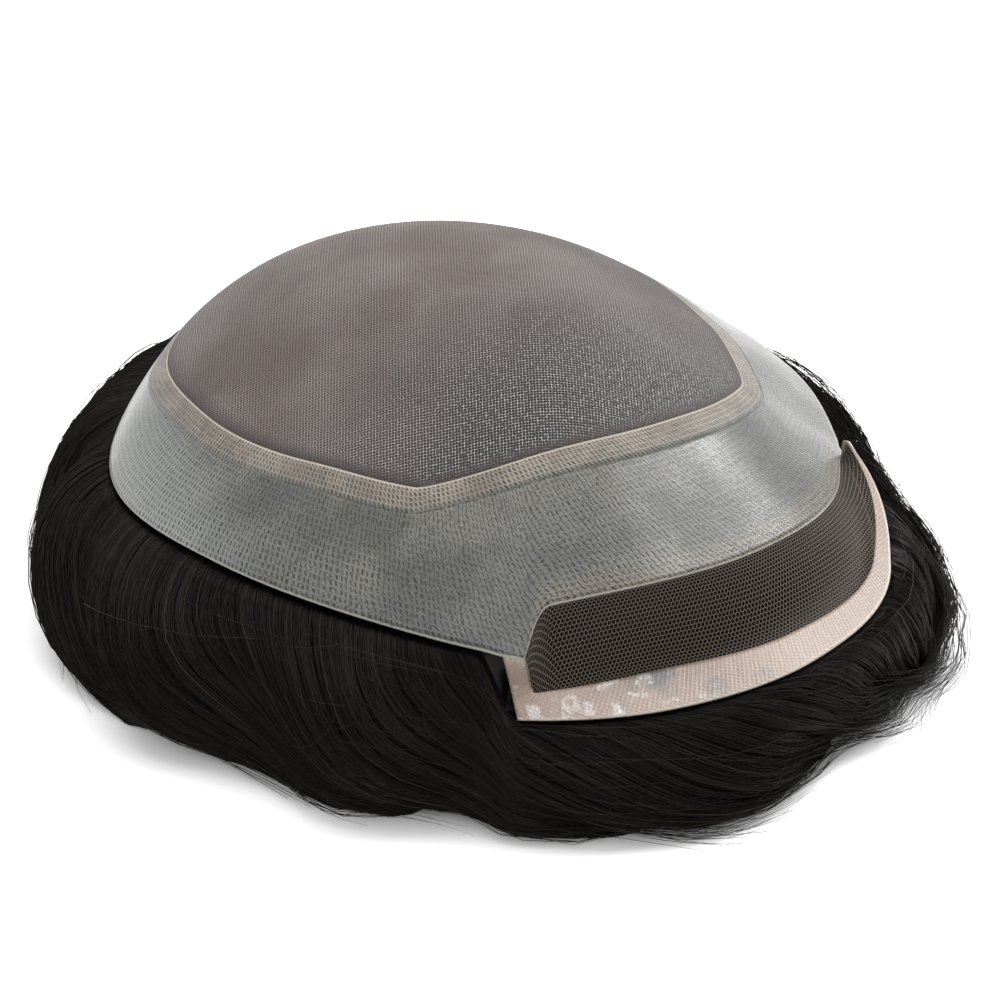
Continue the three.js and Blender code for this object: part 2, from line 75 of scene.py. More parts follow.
def around(values: tuple[float, ...], heading: Array) -> Array:
    """Reads a table that runs once round the base.

    Args:
        values: Evenly spaced values, the first at the front.
        heading: Degrees round from the front.

    Returns:
        The smooth cubic through the values, closed on itself.
    """
    table = np.asarray(values)
    place = np.mod(heading, 360) / (360 / len(table))
    row = np.floor(place).astype(int)
    before, start, end, after = (table[np.mod(row + step, len(table))] for step in (-1, 0, 1, 2))
    return cubic(before, start, end, after, place - row)


def along(values: tuple[float, ...], share: Array) -> Array:
    """Reads an open table.

    Args:
        values: Evenly spaced values.
        share: Place along the table, from 0 to 1.

    Returns:
        The smooth cubic through the values, its end slopes carried on straight.
    """
    table = np.asarray(values, dtype=float)
    padded = np.concatenate(([2 * table[0] - table[1]], table, [2 * table[-1] - table[-2]]))
    place = np.clip(share, 0, 1) * (len(table) - 1)
    row = np.minimum(np.floor(place).astype(int), len(table) - 2)
    return cubic(padded[row], padded[row + 1], padded[row + 2], padded[row + 3], place - row)


def smooth(share: Array) -> Array:
    """The curve 3s^2 - 2s^3 between 0 and 1, flat at both ends."""
    share = np.clip(share, 0, 1)
    return share * share * (3 - 2 * share)


def from_front(heading: Array) -> Array:
    """Brings headings into the half turn either side of the front."""
    return np.mod(np.asarray(heading) + 180, 360) - 180


def on_plan(heading: Array, radius: Array, height: Array) -> Array:
    """Points at a heading and a radius from the crown's middle: x = r sin h, y = -r cos h."""
    angle = np.radians(heading)
    return np.stack(np.broadcast_arrays(radius * np.sin(angle), -radius * np.cos(angle), height), -1)


@dataclass(frozen=True)
class BaseShape:
    """The moulded base as formulas, in millimetres from the floor under the crown's middle.

    Corners, sweeps and headings are in degrees. The tables of shares run once round the base from
    the front, and the flap's tables across it from left to right, as shares of its reach and lift.
    The far corner is the front corner at the right, where the skin sweeps out over more degrees.
    """

    length: float = 203
    width: float = 172
    crown_height: float = 75.2
    rim_height: float = 35
    seam: float = 0.35
    ribbon_width: float = 5.8
    crown_front: float = 45
    crown_bow: float = 0.434
    crown_skew: float = 0.0135
    crown_corner: float = 61.9
    skin_front: float = 75.6
    skin_bow: float = 0.229
    skin_skew: float = 0.086
    skin_corner: float = 40.4
    corner_sweep: float = 4.4
    leg_width: float = 4.8
    tape_reach: float = 94.7
    tape_lift: float = 23.1
    foot_heading: float = 41.2
    leave: float = 0.6
    arrive: float = 0.7
    tape_row: float = 0.65
    softness: float = 0.3
    soft_span: float = 8
    soft_reach: float = 9
    far_corner: float = 62
    far_sweep: float = 24
    far_top: float = 12.2
    far_foot: float = 11.5
    radius_shares: tuple[float, ...] = (
        0.975, 0.919, 0.892, 0.996, 1.053, 1.042, 1.026, 1.016, 1.059, 1.004, 0.935, 0.988)
    rim_shares: tuple[float, ...] = (
        0.829, 0.757, 0.8, 0.929, 1.097, 1.049, 0.983, 1.003, 0.989, 1.054, 0.989, 0.98)
    crown_shares: tuple[float, ...] = (
        0.561, 0.582, 0.64, 0.676, 0.782, 0.868, 0.852, 0.906, 0.778, 0.704, 0.666, 0.56)
    trim_shares: tuple[float, ...] = (1, 0.85, 0.955, 1, 1, 1, 1, 1, 1, 1, 1, 1)
    fall_side: tuple[float, float] = (1.053, 0.964)
    fall_front: tuple[float, float] = (1.052, 1.124)
    fall_back: tuple[float, float] = (2.231, 0.6)
    outer_reach: tuple[float, ...] = (0.992, 0.988, 1, 0.966, 0.772)
    outer_lift: tuple[float, ...] = (0.931, 0.909, 1, 1.186, 1.667)
    inner_reach: tuple[float, ...] = (0.95, 0.886, 0.919, 0.92, 0.77)
    inner_lift: tuple[float, ...] = (1.08, 1.048, 1.104, 1.238, 1.655)

    @property
    def flap_top(self) -> float:
        """Heading of the flap's outer corners where they meet the skin."""
        return self.skin_corner + math.degrees(self.leg_width / self.tape_reach)

    @property
    def leg_station(self) -> float:
        """Share of the flap's half width at which its leg starts."""
        return self.skin_corner / self.flap_top

    def rim_radius(self, heading: Array) -> Array:
        """Radius of the rim: an oval 1 / hypot(sin h / half width, cos h / half length) times its share."""
        angle = np.radians(heading)
        oval = 1 / np.hypot(np.sin(angle) / (self.width / 2), np.cos(angle) / (self.length / 2))
        return oval * around(self.radius_shares, heading)

    def dome_height(self, heading: Array, radius: Array) -> Array:
        """Height of the dome.

        Args:
            heading: Degrees round from the front.
            radius: Distance from the crown's middle.

        Returns:
            rim + (crown - rim) (1 - q^flatness)^drop, where q is the radius as a softened share
            of the rim's radius, and both powers blend by the square of the heading's cosine.
        """
        cosine = np.cos(np.radians(heading))
        weight = cosine**2
        ends = [np.where(cosine > 0, front, back) for front, back in zip(self.fall_front, self.fall_back)]
        flatness, drop = (side + (end - side) * weight for side, end in zip(self.fall_side, ends))
        share = radius / self.rim_radius(heading)
        span = math.hypot(1, self.softness) - self.softness
        soft = (np.hypot(share, self.softness) - self.softness) / span
        rim = self.rim_height * around(self.rim_shares, heading)
        return rim + (self.crown_height - rim) * np.maximum(1 - soft**flatness, 0) ** drop

    def dome_slope(self, heading: Array, radius: Array) -> Array:
        """Height lost for each millimetre outwards, read just inside the rim past it."""
        inside = np.minimum(radius, self.rim_radius(heading) - 1)
        return self.dome_height(heading, inside - 0.5) - self.dome_height(heading, inside + 0.5)

    def crown_edge(self, heading: Array) -> Array:
        """Radius of the crown's edge: its table round the back, a bowed chord across the front."""
        turned = from_front(heading)
        angle = np.radians(turned)
        rim = self.rim_radius(heading)
        bow = self.crown_bow * (turned / self.crown_corner) ** 2
        chord = self.crown_front / np.cos(np.clip(angle, -1.2, 1.2)) * (1 - bow)
        chord = chord - self.crown_skew * np.sin(angle) * rim
        side = rim * around(self.crown_shares, heading)
        return np.where(np.abs(turned) > self.crown_corner, side, chord)

    def soft_crown_edge(self, heading: Array) -> Array:
        """The crown's edge with its far front corner rounded, by a mean over a few degrees."""
        sharp = self.crown_edge(heading)
        steps = np.linspace(-self.soft_span, self.soft_span, 9)
        mean = np.mean([self.crown_edge(heading + step) for step in steps], axis=0)
        near = np.exp(-((from_front(heading) - self.crown_corner) / self.soft_reach) ** 2)
        return sharp + (mean - sharp) * near

    def crown_offset(self, distance: float, heading: Array) -> Array:
        """Radius of the crown's edge moved outwards over the dome, with mitred corners.

        Args:
            distance: How far outwards, in millimetres measured over the dome.
            heading: Degrees round from the front.

        Returns:
            The moved outline read at each heading.
        """
        corners = np.array([self.crown_corner, 360 - self.crown_corner])
        places = np.arange(0, 360, 4.0)
        spare = places[np.min(np.abs(places[:, None] - corners), axis=1) > 4 / 3]
        places = np.sort(np.concatenate((spare, corners)))
        edge = self.soft_crown_edge(places)
        outline = on_plan(places, edge, 0)[:, :2]
        step = np.roll(outline, -1, axis=0) - outline
        normals = np.stack((step[:, 1], -step[:, 0]), -1)
        normals /= np.linalg.norm(normals, axis=1, keepdims=True)
        before = np.roll(normals, 1, axis=0)
        mitre = before + normals
        mitre /= np.linalg.norm(mitre, axis=1, keepdims=True)
        flat = distance * np.cos(np.arctan(self.dome_slope(places, edge)))
        moved = outline + mitre * (flat / np.sum(mitre * before, axis=1))[:, None]
        turned = np.degrees(np.arctan2(moved[:, 0], -moved[:, 1])) % 360
        order = np.argsort(turned)
        return np.interp(np.mod(heading, 360), turned[order], np.hypot(*moved.T)[order], period=360)

    def skin_edge(self, heading: Array) -> Array:
        """Radius of the skin's edge: the rim, then a bowed chord reached over two unlike corners."""
        turned = from_front(heading)
        angle = np.radians(np.clip(turned, -60, 60))
        rim = self.rim_radius(heading) * around(self.trim_shares, heading)
        corner = np.where(turned > 0, self.far_corner, self.skin_corner)
        sweep = np.where(turned > 0, self.far_sweep, self.corner_sweep)
        into = np.clip((corner - np.abs(turned)) / sweep, 0, 1)
        bow = self.skin_bow * (turned / self.skin_corner) ** 2
        chord = self.skin_front * ((1 - bow) / np.cos(angle) - self.skin_skew * np.sin(angle))
        cut = np.where(turned > 0, smooth(into), 1 - (1 - into) ** 3)
        return rim + (chord - rim) * cut

    def flap_point(self, station: Array, row: Array) -> Array:
        """Point on the front flap.

        Args:
            station: Place across the flap, from -1 to 1.
            row: Place down it, 0 at the skin, tape_row where the tape starts and 1 at its foot.

        Returns:
            A smooth cubic from the skin's edge, leaving along the dome's slope, to the tape's
            inner edge, then a straight line over the tape.
        """
        station, row = np.broadcast_arrays(np.asarray(station, float), np.asarray(row, float))
        top_heading = self.flap_heading(station, 0.0)
        seam_turn = math.degrees(self.seam / self.skin_front) * np.sign(station)
        top_radius = self.skin_edge(top_heading + seam_turn) + self.seam
        place = (station + 1) / 2
        top = np.stack((top_radius, self.dome_height(top_heading, top_radius)), -1)
        inner = np.stack((self.tape_reach * along(self.inner_reach, place),
                          self.tape_lift * along(self.inner_lift, place)), -1)
        outer = np.stack((self.tape_reach * along(self.outer_reach, place),
                          self.tape_lift * along(self.outer_lift, place)), -1)
        chord = np.linalg.norm(top - inner, axis=-1, keepdims=True)
        slope = self.dome_slope(top_heading, top_radius)
        leave = np.stack((np.ones_like(slope), -slope), -1)
        leave *= self.leave * chord / np.linalg.norm(leave, axis=-1, keepdims=True)
        arrive = outer - inner
        arrive *= self.arrive * chord / np.linalg.norm(arrive, axis=-1, keepdims=True)
        share = np.clip(row / self.tape_row, 0, 1)[..., None]
        square, cube = share**2, share**3
        lace = (top * (2 * cube - 3 * square + 1) + leave * (cube - 2 * square + share)
                + inner * (3 * square - 2 * cube) + arrive * (cube - square))
        past = np.clip((row - self.tape_row) / (1 - self.tape_row), 0, 1)[..., None]
        section = np.where(row[..., None] < self.tape_row, lace, inner + (outer - inner) * past)
        return on_plan(self.flap_heading(station, row), section[..., 0], section[..., 1])

    def flap_heading(self, station: Array, row: Array | float) -> Array:
        """Heading of a place on the flap, which reaches further round on its far side."""
        stretch = smooth((station - 0.55) / 0.45)
        top = station * self.flap_top + self.far_top * stretch
        foot = station * self.foot_heading + self.far_foot * stretch
        return top + (foot - top) * row

    def flap_station(self, heading: Array, row: float) -> Array:
        """Place across the flap at a heading, held at its two ends beyond them."""
        stations = np.linspace(-1, 1, 161)
        return np.interp(from_front(heading), self.flap_heading(stations, row), stations)

    def past_flap(self, heading: Array, row: float) -> Array:
        """Degrees beyond the flap's nearer end, below 0 within it."""
        ends = self.flap_heading(np.array([-1.0, 1.0]), row)
        turned = from_front(heading)
        return np.maximum(turned - ends[1], ends[0] - turned)


BASE = BaseShape()
ROW_SHIFT = np.array([3.307018, -8.471367, 0.0])


@dataclass(frozen=True)
class Marks:
    """Staggered rows of short slanted marks on a sheet.

    The pitch is the distance between marks and between rows in millimetres, the lean a mark's slant
    in cells for one row, and the size half its width and half its length as shares of the cell. The
    sway is how far the rows wander, in millimetres.
    """

    pitch: tuple[float, float]
    lean: float
    size: tuple[float, float]
    sway: float


class Nodes:
    """A material's node tree, with one short call for each node."""

    def __init__(self, name: str) -> None:
        """Starts an empty material with a shader and its output."""
        self.material = bpy.data.materials.new(name)
        self.material.use_nodes = True
        self.tree = self.material.node_tree
        self.tree.nodes.clear()
        self.output = self.add("ShaderNodeOutputMaterial")
        self.shader = self.add("ShaderNodeBsdfPrincipled")
        self.link(self.shader.outputs[0], self.output.inputs[0])

    def add(self, kind: str, **settings: object) -> bpy.types.Node:
        """Adds a node and sets its own properties."""
        node = self.tree.nodes.new(kind)
        for key, value in settings.items():
            setattr(node, key, value)
        return node

    def link(self, source: bpy.types.NodeSocket, target: bpy.types.NodeSocket) -> None:
        """Joins two sockets."""
        self.tree.links.new(source, target)

    def feed(self, node: bpy.types.Node, socket: str | int, value: object) -> None:
        """Sets a socket to a value, or joins it to another socket."""
        if isinstance(value, bpy.types.NodeSocket):
            self.link(value, node.inputs[socket])
        else:
            node.inputs[socket].default_value = value

    def math(self, operation: str, first: object, second: object = 0.0) -> bpy.types.NodeSocket:
        """One step of arithmetic."""
        node = self.add("ShaderNodeMath", operation=operation)
        self.feed(node, 0, first)
        self.feed(node, 1, second)
        return node.outputs[0]

    def times(self, first: object, second: object) -> bpy.types.NodeSocket:
        """The product of two values."""
        return self.math("MULTIPLY", first, second)

    def ramp(self, value: bpy.types.NodeSocket, low: float, high: float) -> bpy.types.NodeSocket:
        """Smoothly 0 below low and 1 above high."""
        node = self.add("ShaderNodeMapRange", interpolation_type="SMOOTHSTEP")
        self.feed(node, 0, value)
        self.feed(node, 1, low)
        self.feed(node, 2, high)
        return node.outputs[0]

    def fade(self, value: bpy.types.NodeSocket, low: float, high: float) -> bpy.types.NodeSocket:
        """Smoothly 1 below low and 0 above high."""
        return self.math("SUBTRACT", 1.0, self.ramp(value, low, high))

    def mix(self, amount: object, first: object, second: object) -> bpy.types.NodeSocket:
        """A colour between two."""
        node = self.add("ShaderNodeMix", data_type="RGBA")
        self.feed(node, 0, amount)
        for index, value in ((6, first), (7, second)):
            self.feed(node, index, value if isinstance(value, bpy.types.NodeSocket) else (*value, 1))
        return node.outputs[2]

    def wash(self, share: float, amount: object, first: object, second: object) -> bpy.types.NodeSocket:
        """Lays a second colour over a first where an amount says, by a share at most."""
        return self.mix(self.times(amount, share), first, second)

    def value(self, name: str) -> bpy.types.NodeSocket:
        """The number that add_values keeps under a name."""
        return self.add("ShaderNodeAttribute", attribute_name=name).outputs["Fac"]

    def uv(self, turn: float = 0.0, scale: tuple[float, float] = (1, 1)) -> bpy.types.NodeSocket:
        """The piece's own map in millimetres, turned by degrees and then scaled."""
        source = self.add("ShaderNodeUVMap", uv_map="sheet")
        turned = self.add("ShaderNodeMapping")
        turned.inputs["Rotation"].default_value = (0, 0, math.radians(turn))
        self.link(source.outputs[0], turned.inputs[0])
        sized = self.add("ShaderNodeMapping")
        sized.inputs["Scale"].default_value = (*scale, 1)
        self.link(turned.outputs[0], sized.inputs[0])
        return sized.outputs[0]

    def place(self) -> bpy.types.NodeSocket:
        """Object coordinates, in metres."""
        return self.add("ShaderNodeTexCoord").outputs["Object"]

    def split(self, vector: bpy.types.NodeSocket) -> tuple[bpy.types.NodeSocket, bpy.types.NodeSocket]:
        """The first two numbers of a vector."""
        node = self.add("ShaderNodeSeparateXYZ")
        self.link(vector, node.inputs[0])
        return node.outputs[0], node.outputs[1]

    def noise(self, vector: bpy.types.NodeSocket, scale: float, detail: float = 3) -> bpy.types.NodeSocket:
        """Soft random variation between 0 and 1."""
        node = self.add("ShaderNodeTexNoise")
        self.link(vector, node.inputs["Vector"])
        node.inputs["Scale"].default_value = scale
        node.inputs["Detail"].default_value = detail
        return node.outputs[0]

    def patches(self, scale: float, detail: float, low: float, high: float) -> bpy.types.NodeSocket:
        """Soft random patches over the piece: 0 where the noise is below low and 1 above high."""
        return self.ramp(self.noise(self.place(), scale, detail), low, high)

    def cells(self, vector: bpy.types.NodeSocket, jitter: float, edges: bool = False) -> bpy.types.NodeSocket:
        """Distance from each cell's middle, or from its edge, for cells one unit apart."""
        feature = "DISTANCE_TO_EDGE" if edges else "F1"
        node = self.add("ShaderNodeTexVoronoi", voronoi_dimensions="2D", feature=feature)
        self.link(vector, node.inputs["Vector"])
        node.inputs["Scale"].default_value = 1
        node.inputs["Randomness"].default_value = jitter
        return node.outputs[0]

    def dashes(self, marks: Marks) -> bpy.types.NodeSocket:
        """Draws marks on the piece's own map, whose u runs along the rows.

        With the pitch (a, b), row r = floor(v / b) and x = u / a + r / 2 + lean (v / b - r). A mark
        covers the middle of each cell of x and v, and its strength changes at random from cell to
        cell. Soft noise makes v and x wander.

        Args:
            marks: The rows to draw.

        Returns:
            1 on a full mark and 0 between marks.
        """
        size = marks.size
        along_edge, across = self.split(self.uv())
        wander = self.times(self.math("SUBTRACT", self.noise(self.place(), 160, 2), 0.5), marks.sway * 3)
        level = self.math("DIVIDE", self.math("ADD", across, wander), marks.pitch[1])
        row = self.math("FLOOR", level)
        part = self.math("SUBTRACT", level, row)
        place = self.math("ADD", self.math("DIVIDE", along_edge, marks.pitch[0]), self.times(row, 0.5))
        place = self.math("ADD", self.math("ADD", place, wander), self.times(part, marks.lean))
        cell = self.add("ShaderNodeCombineXYZ")
        self.link(self.math("FLOOR", place), cell.inputs[0])
        self.link(row, cell.inputs[1])
        chance = self.add("ShaderNodeTexWhiteNoise", noise_dimensions="3D")
        self.link(cell.outputs[0], chance.inputs["Vector"])
        beside = self.math("ABSOLUTE", self.math("SUBTRACT", self.math("FRACT", place), 0.5))
        above = self.math("ABSOLUTE", self.math("SUBTRACT", part, 0.5))
        narrow = self.fade(beside, size[0] * 0.5, size[0] * 1.5)
        short = self.fade(above, size[1] * 0.6, size[1] * 1.4)
        strength = self.math("ADD", self.times(chance.outputs["Value"], 0.45), 0.55)
        return self.times(self.times(narrow, short), strength)

    def bump(self, height: bpy.types.NodeSocket, depth: float, strength: float = 1.0) -> None:
        """Raises the shader's surface by a height map."""
        node = self.add("ShaderNodeBump")
        node.inputs["Strength"].default_value = strength
        node.inputs["Distance"].default_value = depth
        self.link(height, node.inputs["Height"])
        self.link(node.outputs[0], self.shader.inputs["Normal"])

    def finish(self, color: bpy.types.NodeSocket, roughness: object, **plain: float) -> bpy.types.Material:
        """Connects the colour and roughness and sets the plain sockets.

        Args:
            color: The surface's colour.
            roughness: A number or a socket.
            **plain: Other shader sockets, by name with underscores.

        Returns:
            The finished material.
        """
        self.link(color, self.shader.inputs["Base Color"])
        self.feed(self.shader, "Roughness", roughness)
        for key, value in plain.items():
            self.shader.inputs[key.replace("_", " ")].default_value = value
        return self.material


@dataclass(frozen=True)
class NetFinish:
    """Fine open net in brown thread over dark hair.

    The pitch is in millimetres, the turn in degrees, and front and right are the places in metres
    between which the net darkens towards the front, and darkens to the right as painted shade.
    """

    thread: Color = (0.152, 0.117, 0.106)
    worn: Color = (0.23, 0.193, 0.18)
    front_thread: Color = (0.034, 0.032, 0.031)
    hole: Color = (0.03, 0.024, 0.022)
    deep_hole: Color = (0.004, 0.0035, 0.0035)
    painted_glint: Color = (0.5, 0.485, 0.47)
    # Dark brown where the net lies double at its hem, also laid on to the right as painted shade.
    doubled_and_shade: Color = (0.038, 0.028, 0.026)
    pitch: float = 0.68
    turn: float = 38.0
    jitter: float = 0.2
    front: tuple[float, float] = (0.012, 0.06)
    right: tuple[float, float] = (0.015, 0.065)
    relief: float = 0.00016

    def build(self) -> bpy.types.Material:
        """Threads are the edges of small even cells.

        Towards the front the holes are darker and some crossings of the threads carry painted highlights.
        """
        nodes = Nodes("crown_net")
        weave = nodes.uv(self.turn, (1 / self.pitch, 1 / self.pitch))
        thread = nodes.fade(nodes.cells(weave, self.jitter, edges=True), 0.06, 0.25)
        sideways, onward = nodes.split(nodes.place())
        drift = nodes.times(nodes.noise(nodes.place(), 26, 4), 0.04)
        front = nodes.ramp(nodes.math("SUBTRACT", drift, onward), *self.front)
        speck = nodes.noise(nodes.place(), 1150, 2)
        tint = nodes.mix(nodes.patches(34, 4, 0.35, 0.65), self.thread, self.worn)
        # Painted shade: the net darkens to the right.
        tint = nodes.wash(0.75, nodes.ramp(sideways, *self.right), tint, self.doubled_and_shade)
        tint = nodes.wash(0.82, front, tint, self.front_thread)
        hole = nodes.mix(front, self.hole, self.deep_hole)
        hole = nodes.mix(nodes.ramp(speck, 0.5, 0.7), hole, self.deep_hole)
        color = nodes.wash(0.9, thread, hole, tint)
        crossing = nodes.ramp(nodes.cells(weave, self.jitter), 0.44, 0.6)
        painted_glint_mask = nodes.times(nodes.times(crossing, nodes.ramp(speck, 0.3, 0.62)), front)
        # Painted highlights: pale glints on thread crossings towards the front.
        color = nodes.wash(0.62, painted_glint_mask, color, self.painted_glint)
        color = nodes.wash(0.75, nodes.value("hem"), color, self.doubled_and_shade)
        nodes.bump(thread, self.relief)
        return nodes.finish(color, 0.7, Sheen_Weight=0.04, Specular_IOR_Level=0.3)


@dataclass(frozen=True)
class RibbonFinish:
    """Tan woven binding with staggered rows of short slanted stitches, ragged at its outer edge."""

    cloth: Color = (0.175, 0.136, 0.102)
    shade: Color = (0.09, 0.072, 0.058)
    pale: Color = (0.28, 0.24, 0.195)
    frayed: Color = (0.13, 0.128, 0.112)
    stitch: Color = (0.006, 0.005, 0.004)
    stitches: Marks = Marks((1.0, 1.3), -0.9, (0.26, 0.38), 0.16)
    lip: tuple[float, float] = (0.35, 0.7)
    fray: tuple[float, float] = (5.6, 6.9)
    relief: float = 0.00022

    def build(self) -> bpy.types.Material:
        """The map's v runs from the ribbon's inner edge, so its rows follow the binding."""
        nodes = Nodes("binding_ribbon")
        across = nodes.split(nodes.uv())[1]
        weave = nodes.cells(nodes.uv(45, (2.6, 2.6)), 0.5)
        cloth = nodes.mix(nodes.ramp(weave, 0.15, 0.6), self.cloth, self.shade)
        cloth = nodes.wash(0.5, nodes.patches(120, 3, 0.35, 0.7), cloth, self.pale)
        lip = nodes.fade(across, *self.lip)
        cloth = nodes.wash(0.8, lip, cloth, self.pale)
        sewn = nodes.times(nodes.dashes(self.stitches), nodes.math("SUBTRACT", 1.0, lip))
        ragged = nodes.times(nodes.noise(nodes.place(), 700, 2), 2.2)
        hem = nodes.ramp(nodes.math("ADD", across, ragged), *self.fray)
        cloth = nodes.wash(0.7, hem, cloth, self.frayed)
        color = nodes.wash(0.97, sewn, cloth, self.stitch)
        nodes.bump(nodes.math("ADD", nodes.times(sewn, -1.0), nodes.times(weave, -0.5)), self.relief)
        return nodes.finish(color, 0.55, Sheen_Weight=0.15)


@dataclass(frozen=True)
class SkinFinish:
    """Thin grey-green film over hair, with rows of small dark knots and a soft gloss.

    Towards the left at the back the film is painted paler as glancing sheen, and to the right darker as
    shade, between the places in metres that sheen_side and shaded_side give.
    """

    film: Color = (0.098, 0.097, 0.081)
    # Darker tone of the film's random patches, also laid on to the right as painted shade.
    deep_tone_and_shade: Color = (0.045, 0.046, 0.039)
    cool: Color = (0.056, 0.06, 0.06)
    # Pale colour painted on towards the left at the back as glancing sheen.
    clear: Color = (0.26, 0.27, 0.26)
    fibre: Color = (0.19, 0.186, 0.158)
    knot: Color = (0.003, 0.003, 0.0025)
    cut_edge: Color = (0.27, 0.27, 0.23)
    backing: Color = (0.17, 0.14, 0.105)
    backing_gap: Color = (0.045, 0.038, 0.03)
    knots: Marks = Marks((1.18, 1.5), 0.7, (0.18, 0.34), 0.5)
    fibre_turn: float = 45.0
    sheen_side: tuple[float, float] = (0.056, 0.09)
    shaded_side: tuple[float, float] = (0.042, 0.075)
    relief: float = 0.0002

    def build(self) -> bpy.types.Material:
        """The map's v is the distance from the outer edge, so the rows of knots follow the rim."""
        nodes = Nodes("skin_film")
        inwards = nodes.split(nodes.uv())[1]
        knots = nodes.dashes(self.knots)
        patch = nodes.patches(60, 6, 0.34, 0.66)
        hairs = nodes.noise(nodes.uv(self.fibre_turn, (3.4, 0.55)), 1.0, 3)
        crossing = nodes.noise(nodes.uv(-self.fibre_turn, (3.1, 0.6)), 1.0, 3)
        fine = nodes.math("MAXIMUM", nodes.ramp(hairs, 0.56, 0.74), nodes.ramp(crossing, 0.58, 0.76))
        film = nodes.mix(patch, self.deep_tone_and_shade, self.film)
        film = nodes.wash(0.5, nodes.patches(22, 2, 0.45, 0.65), film, self.cool)
        film = nodes.wash(0.5, fine, film, self.fibre)
        film = nodes.wash(0.55, nodes.patches(1300, 2, 0.48, 0.68), film, self.knot)
        across, onward = nodes.split(nodes.place())
        side = nodes.math("ADD", nodes.times(across, -0.9), nodes.times(onward, 0.44))
        # Painted sheen: paler towards the left at the back.
        film = nodes.wash(0.75, nodes.ramp(side, *self.sheen_side), film, self.clear)
        # Painted shade: darker to the right.
        film = nodes.wash(0.85, nodes.ramp(across, *self.shaded_side), film, self.deep_tone_and_shade)
        grain = nodes.ramp(nodes.cells(nodes.uv(20, (1.7, 1.7)), 0.9), 0.1, 0.7)
        strip = nodes.mix(grain, self.backing, self.backing_gap)
        film = nodes.wash(0.6, nodes.value("backing"), film, strip)
        color = nodes.wash(0.95, knots, film, self.knot)
        ragged = nodes.times(nodes.noise(nodes.place(), 900, 2), 0.5)
        edge = nodes.fade(nodes.math("ADD", inwards, ragged), 0.35, 0.85)
        color = nodes.wash(0.8, edge, color, self.cut_edge)
        nodes.bump(nodes.math("SUBTRACT", nodes.times(fine, 0.35), nodes.times(knots, 0.5)), self.relief, 0.8)
        rough = nodes.math("ADD", nodes.times(patch, -0.1), 0.4)
        return nodes.finish(color, rough, Coat_Weight=0.15, Coat_Roughness=0.2, Sheen_Weight=0.18,
                            Sheen_Roughness=0.3, Specular_IOR_Level=0.27)


@dataclass(frozen=True)
class LaceFinish:
    """Brown lace thread, a little paler where it is drawn down to the tape."""

    thread: Color = (0.06, 0.047, 0.034)
    pale: Color = (0.075, 0.055, 0.038)
    relief: float = 0.00006

    def build(self) -> bpy.types.Material:
        """The map's v is the place down the lace, from 0 at the skin to 1 at the tape."""
        nodes = Nodes("lace_thread")
        drift = nodes.times(nodes.noise(nodes.place(), 45, 3), 0.5)
        low = nodes.ramp(nodes.math("ADD", nodes.split(nodes.uv())[1], drift), 0.65, 1.2)
        nodes.bump(nodes.noise(nodes.place(), 3000, 2), self.relief)
        color = nodes.mix(low, self.thread, self.pale)
        return nodes.finish(color, 0.6, Sheen_Weight=0.05, Specular_IOR_Level=0.25)


@dataclass(frozen=True)
class TapeFinish:
    """Coated beige tape over the lace, stained, and towards one end with glossy patches of dried adhesive
    whose whitish colour is partly a painted reflection.

    The stain lies round stain_middle and the glossy patches before glue_end, both in millimetres
    across the flap, with the tape's middle at 0.
    """

    coat: Color = (0.24, 0.182, 0.148)
    weave: Color = (0.125, 0.096, 0.079)
    stain: Color = (0.085, 0.088, 0.1)
    glue_and_reflection: Color = (0.46, 0.445, 0.425)
    hem: Color = (0.38, 0.335, 0.285)
    stain_middle: float = -38
    stain_spread: tuple[float, float] = (14, 34)
    glue_end: tuple[float, float] = (-56, -20)
    relief: float = 0.00025

    def build(self) -> bpy.types.Material:
        """The map's u is the place across the flap in millimetres and its v the height over the foot."""
        nodes = Nodes("coated_tape")
        across, up = nodes.split(nodes.uv())
        holes = nodes.fade(nodes.cells(nodes.uv(30, (1.1, 1.1)), 0.12), 0.18, 0.5)
        shown = nodes.times(nodes.patches(55, 2, 0.35, 0.65), 0.5)
        color = nodes.mix(nodes.times(holes, shown), self.coat, self.weave)
        aside = nodes.math("ABSOLUTE", nodes.math("SUBTRACT", across, self.stain_middle))
        dirty = nodes.times(nodes.patches(150, 5, 0.48, 0.68), nodes.fade(aside, *self.stain_spread))
        color = nodes.wash(0.7, dirty, color, self.stain)
        glue_and_reflection_patches = nodes.times(nodes.patches(230, 4, 0.52, 0.66), nodes.fade(across, *self.glue_end))
        # Partly painted reflection: the glossy glue patches are painted whitish.
        color = nodes.wash(0.6, glue_and_reflection_patches, color, self.glue_and_reflection)
        color = nodes.wash(0.85, nodes.fade(up, 0.3, 0.75), color, self.hem)
        wrinkle = nodes.noise(nodes.uv(15, (0.5, 0.18)), 1.0, 3)
        raised = nodes.math("SUBTRACT", glue_and_reflection_patches, nodes.times(holes, 0.25))
        nodes.bump(nodes.math("ADD", raised, wrinkle), self.relief)
        rough = nodes.math("SUBTRACT", 0.45, nodes.times(glue_and_reflection_patches, 0.25))
        return nodes.finish(color, rough, Coat_Weight=0.25, Coat_Roughness=0.2)


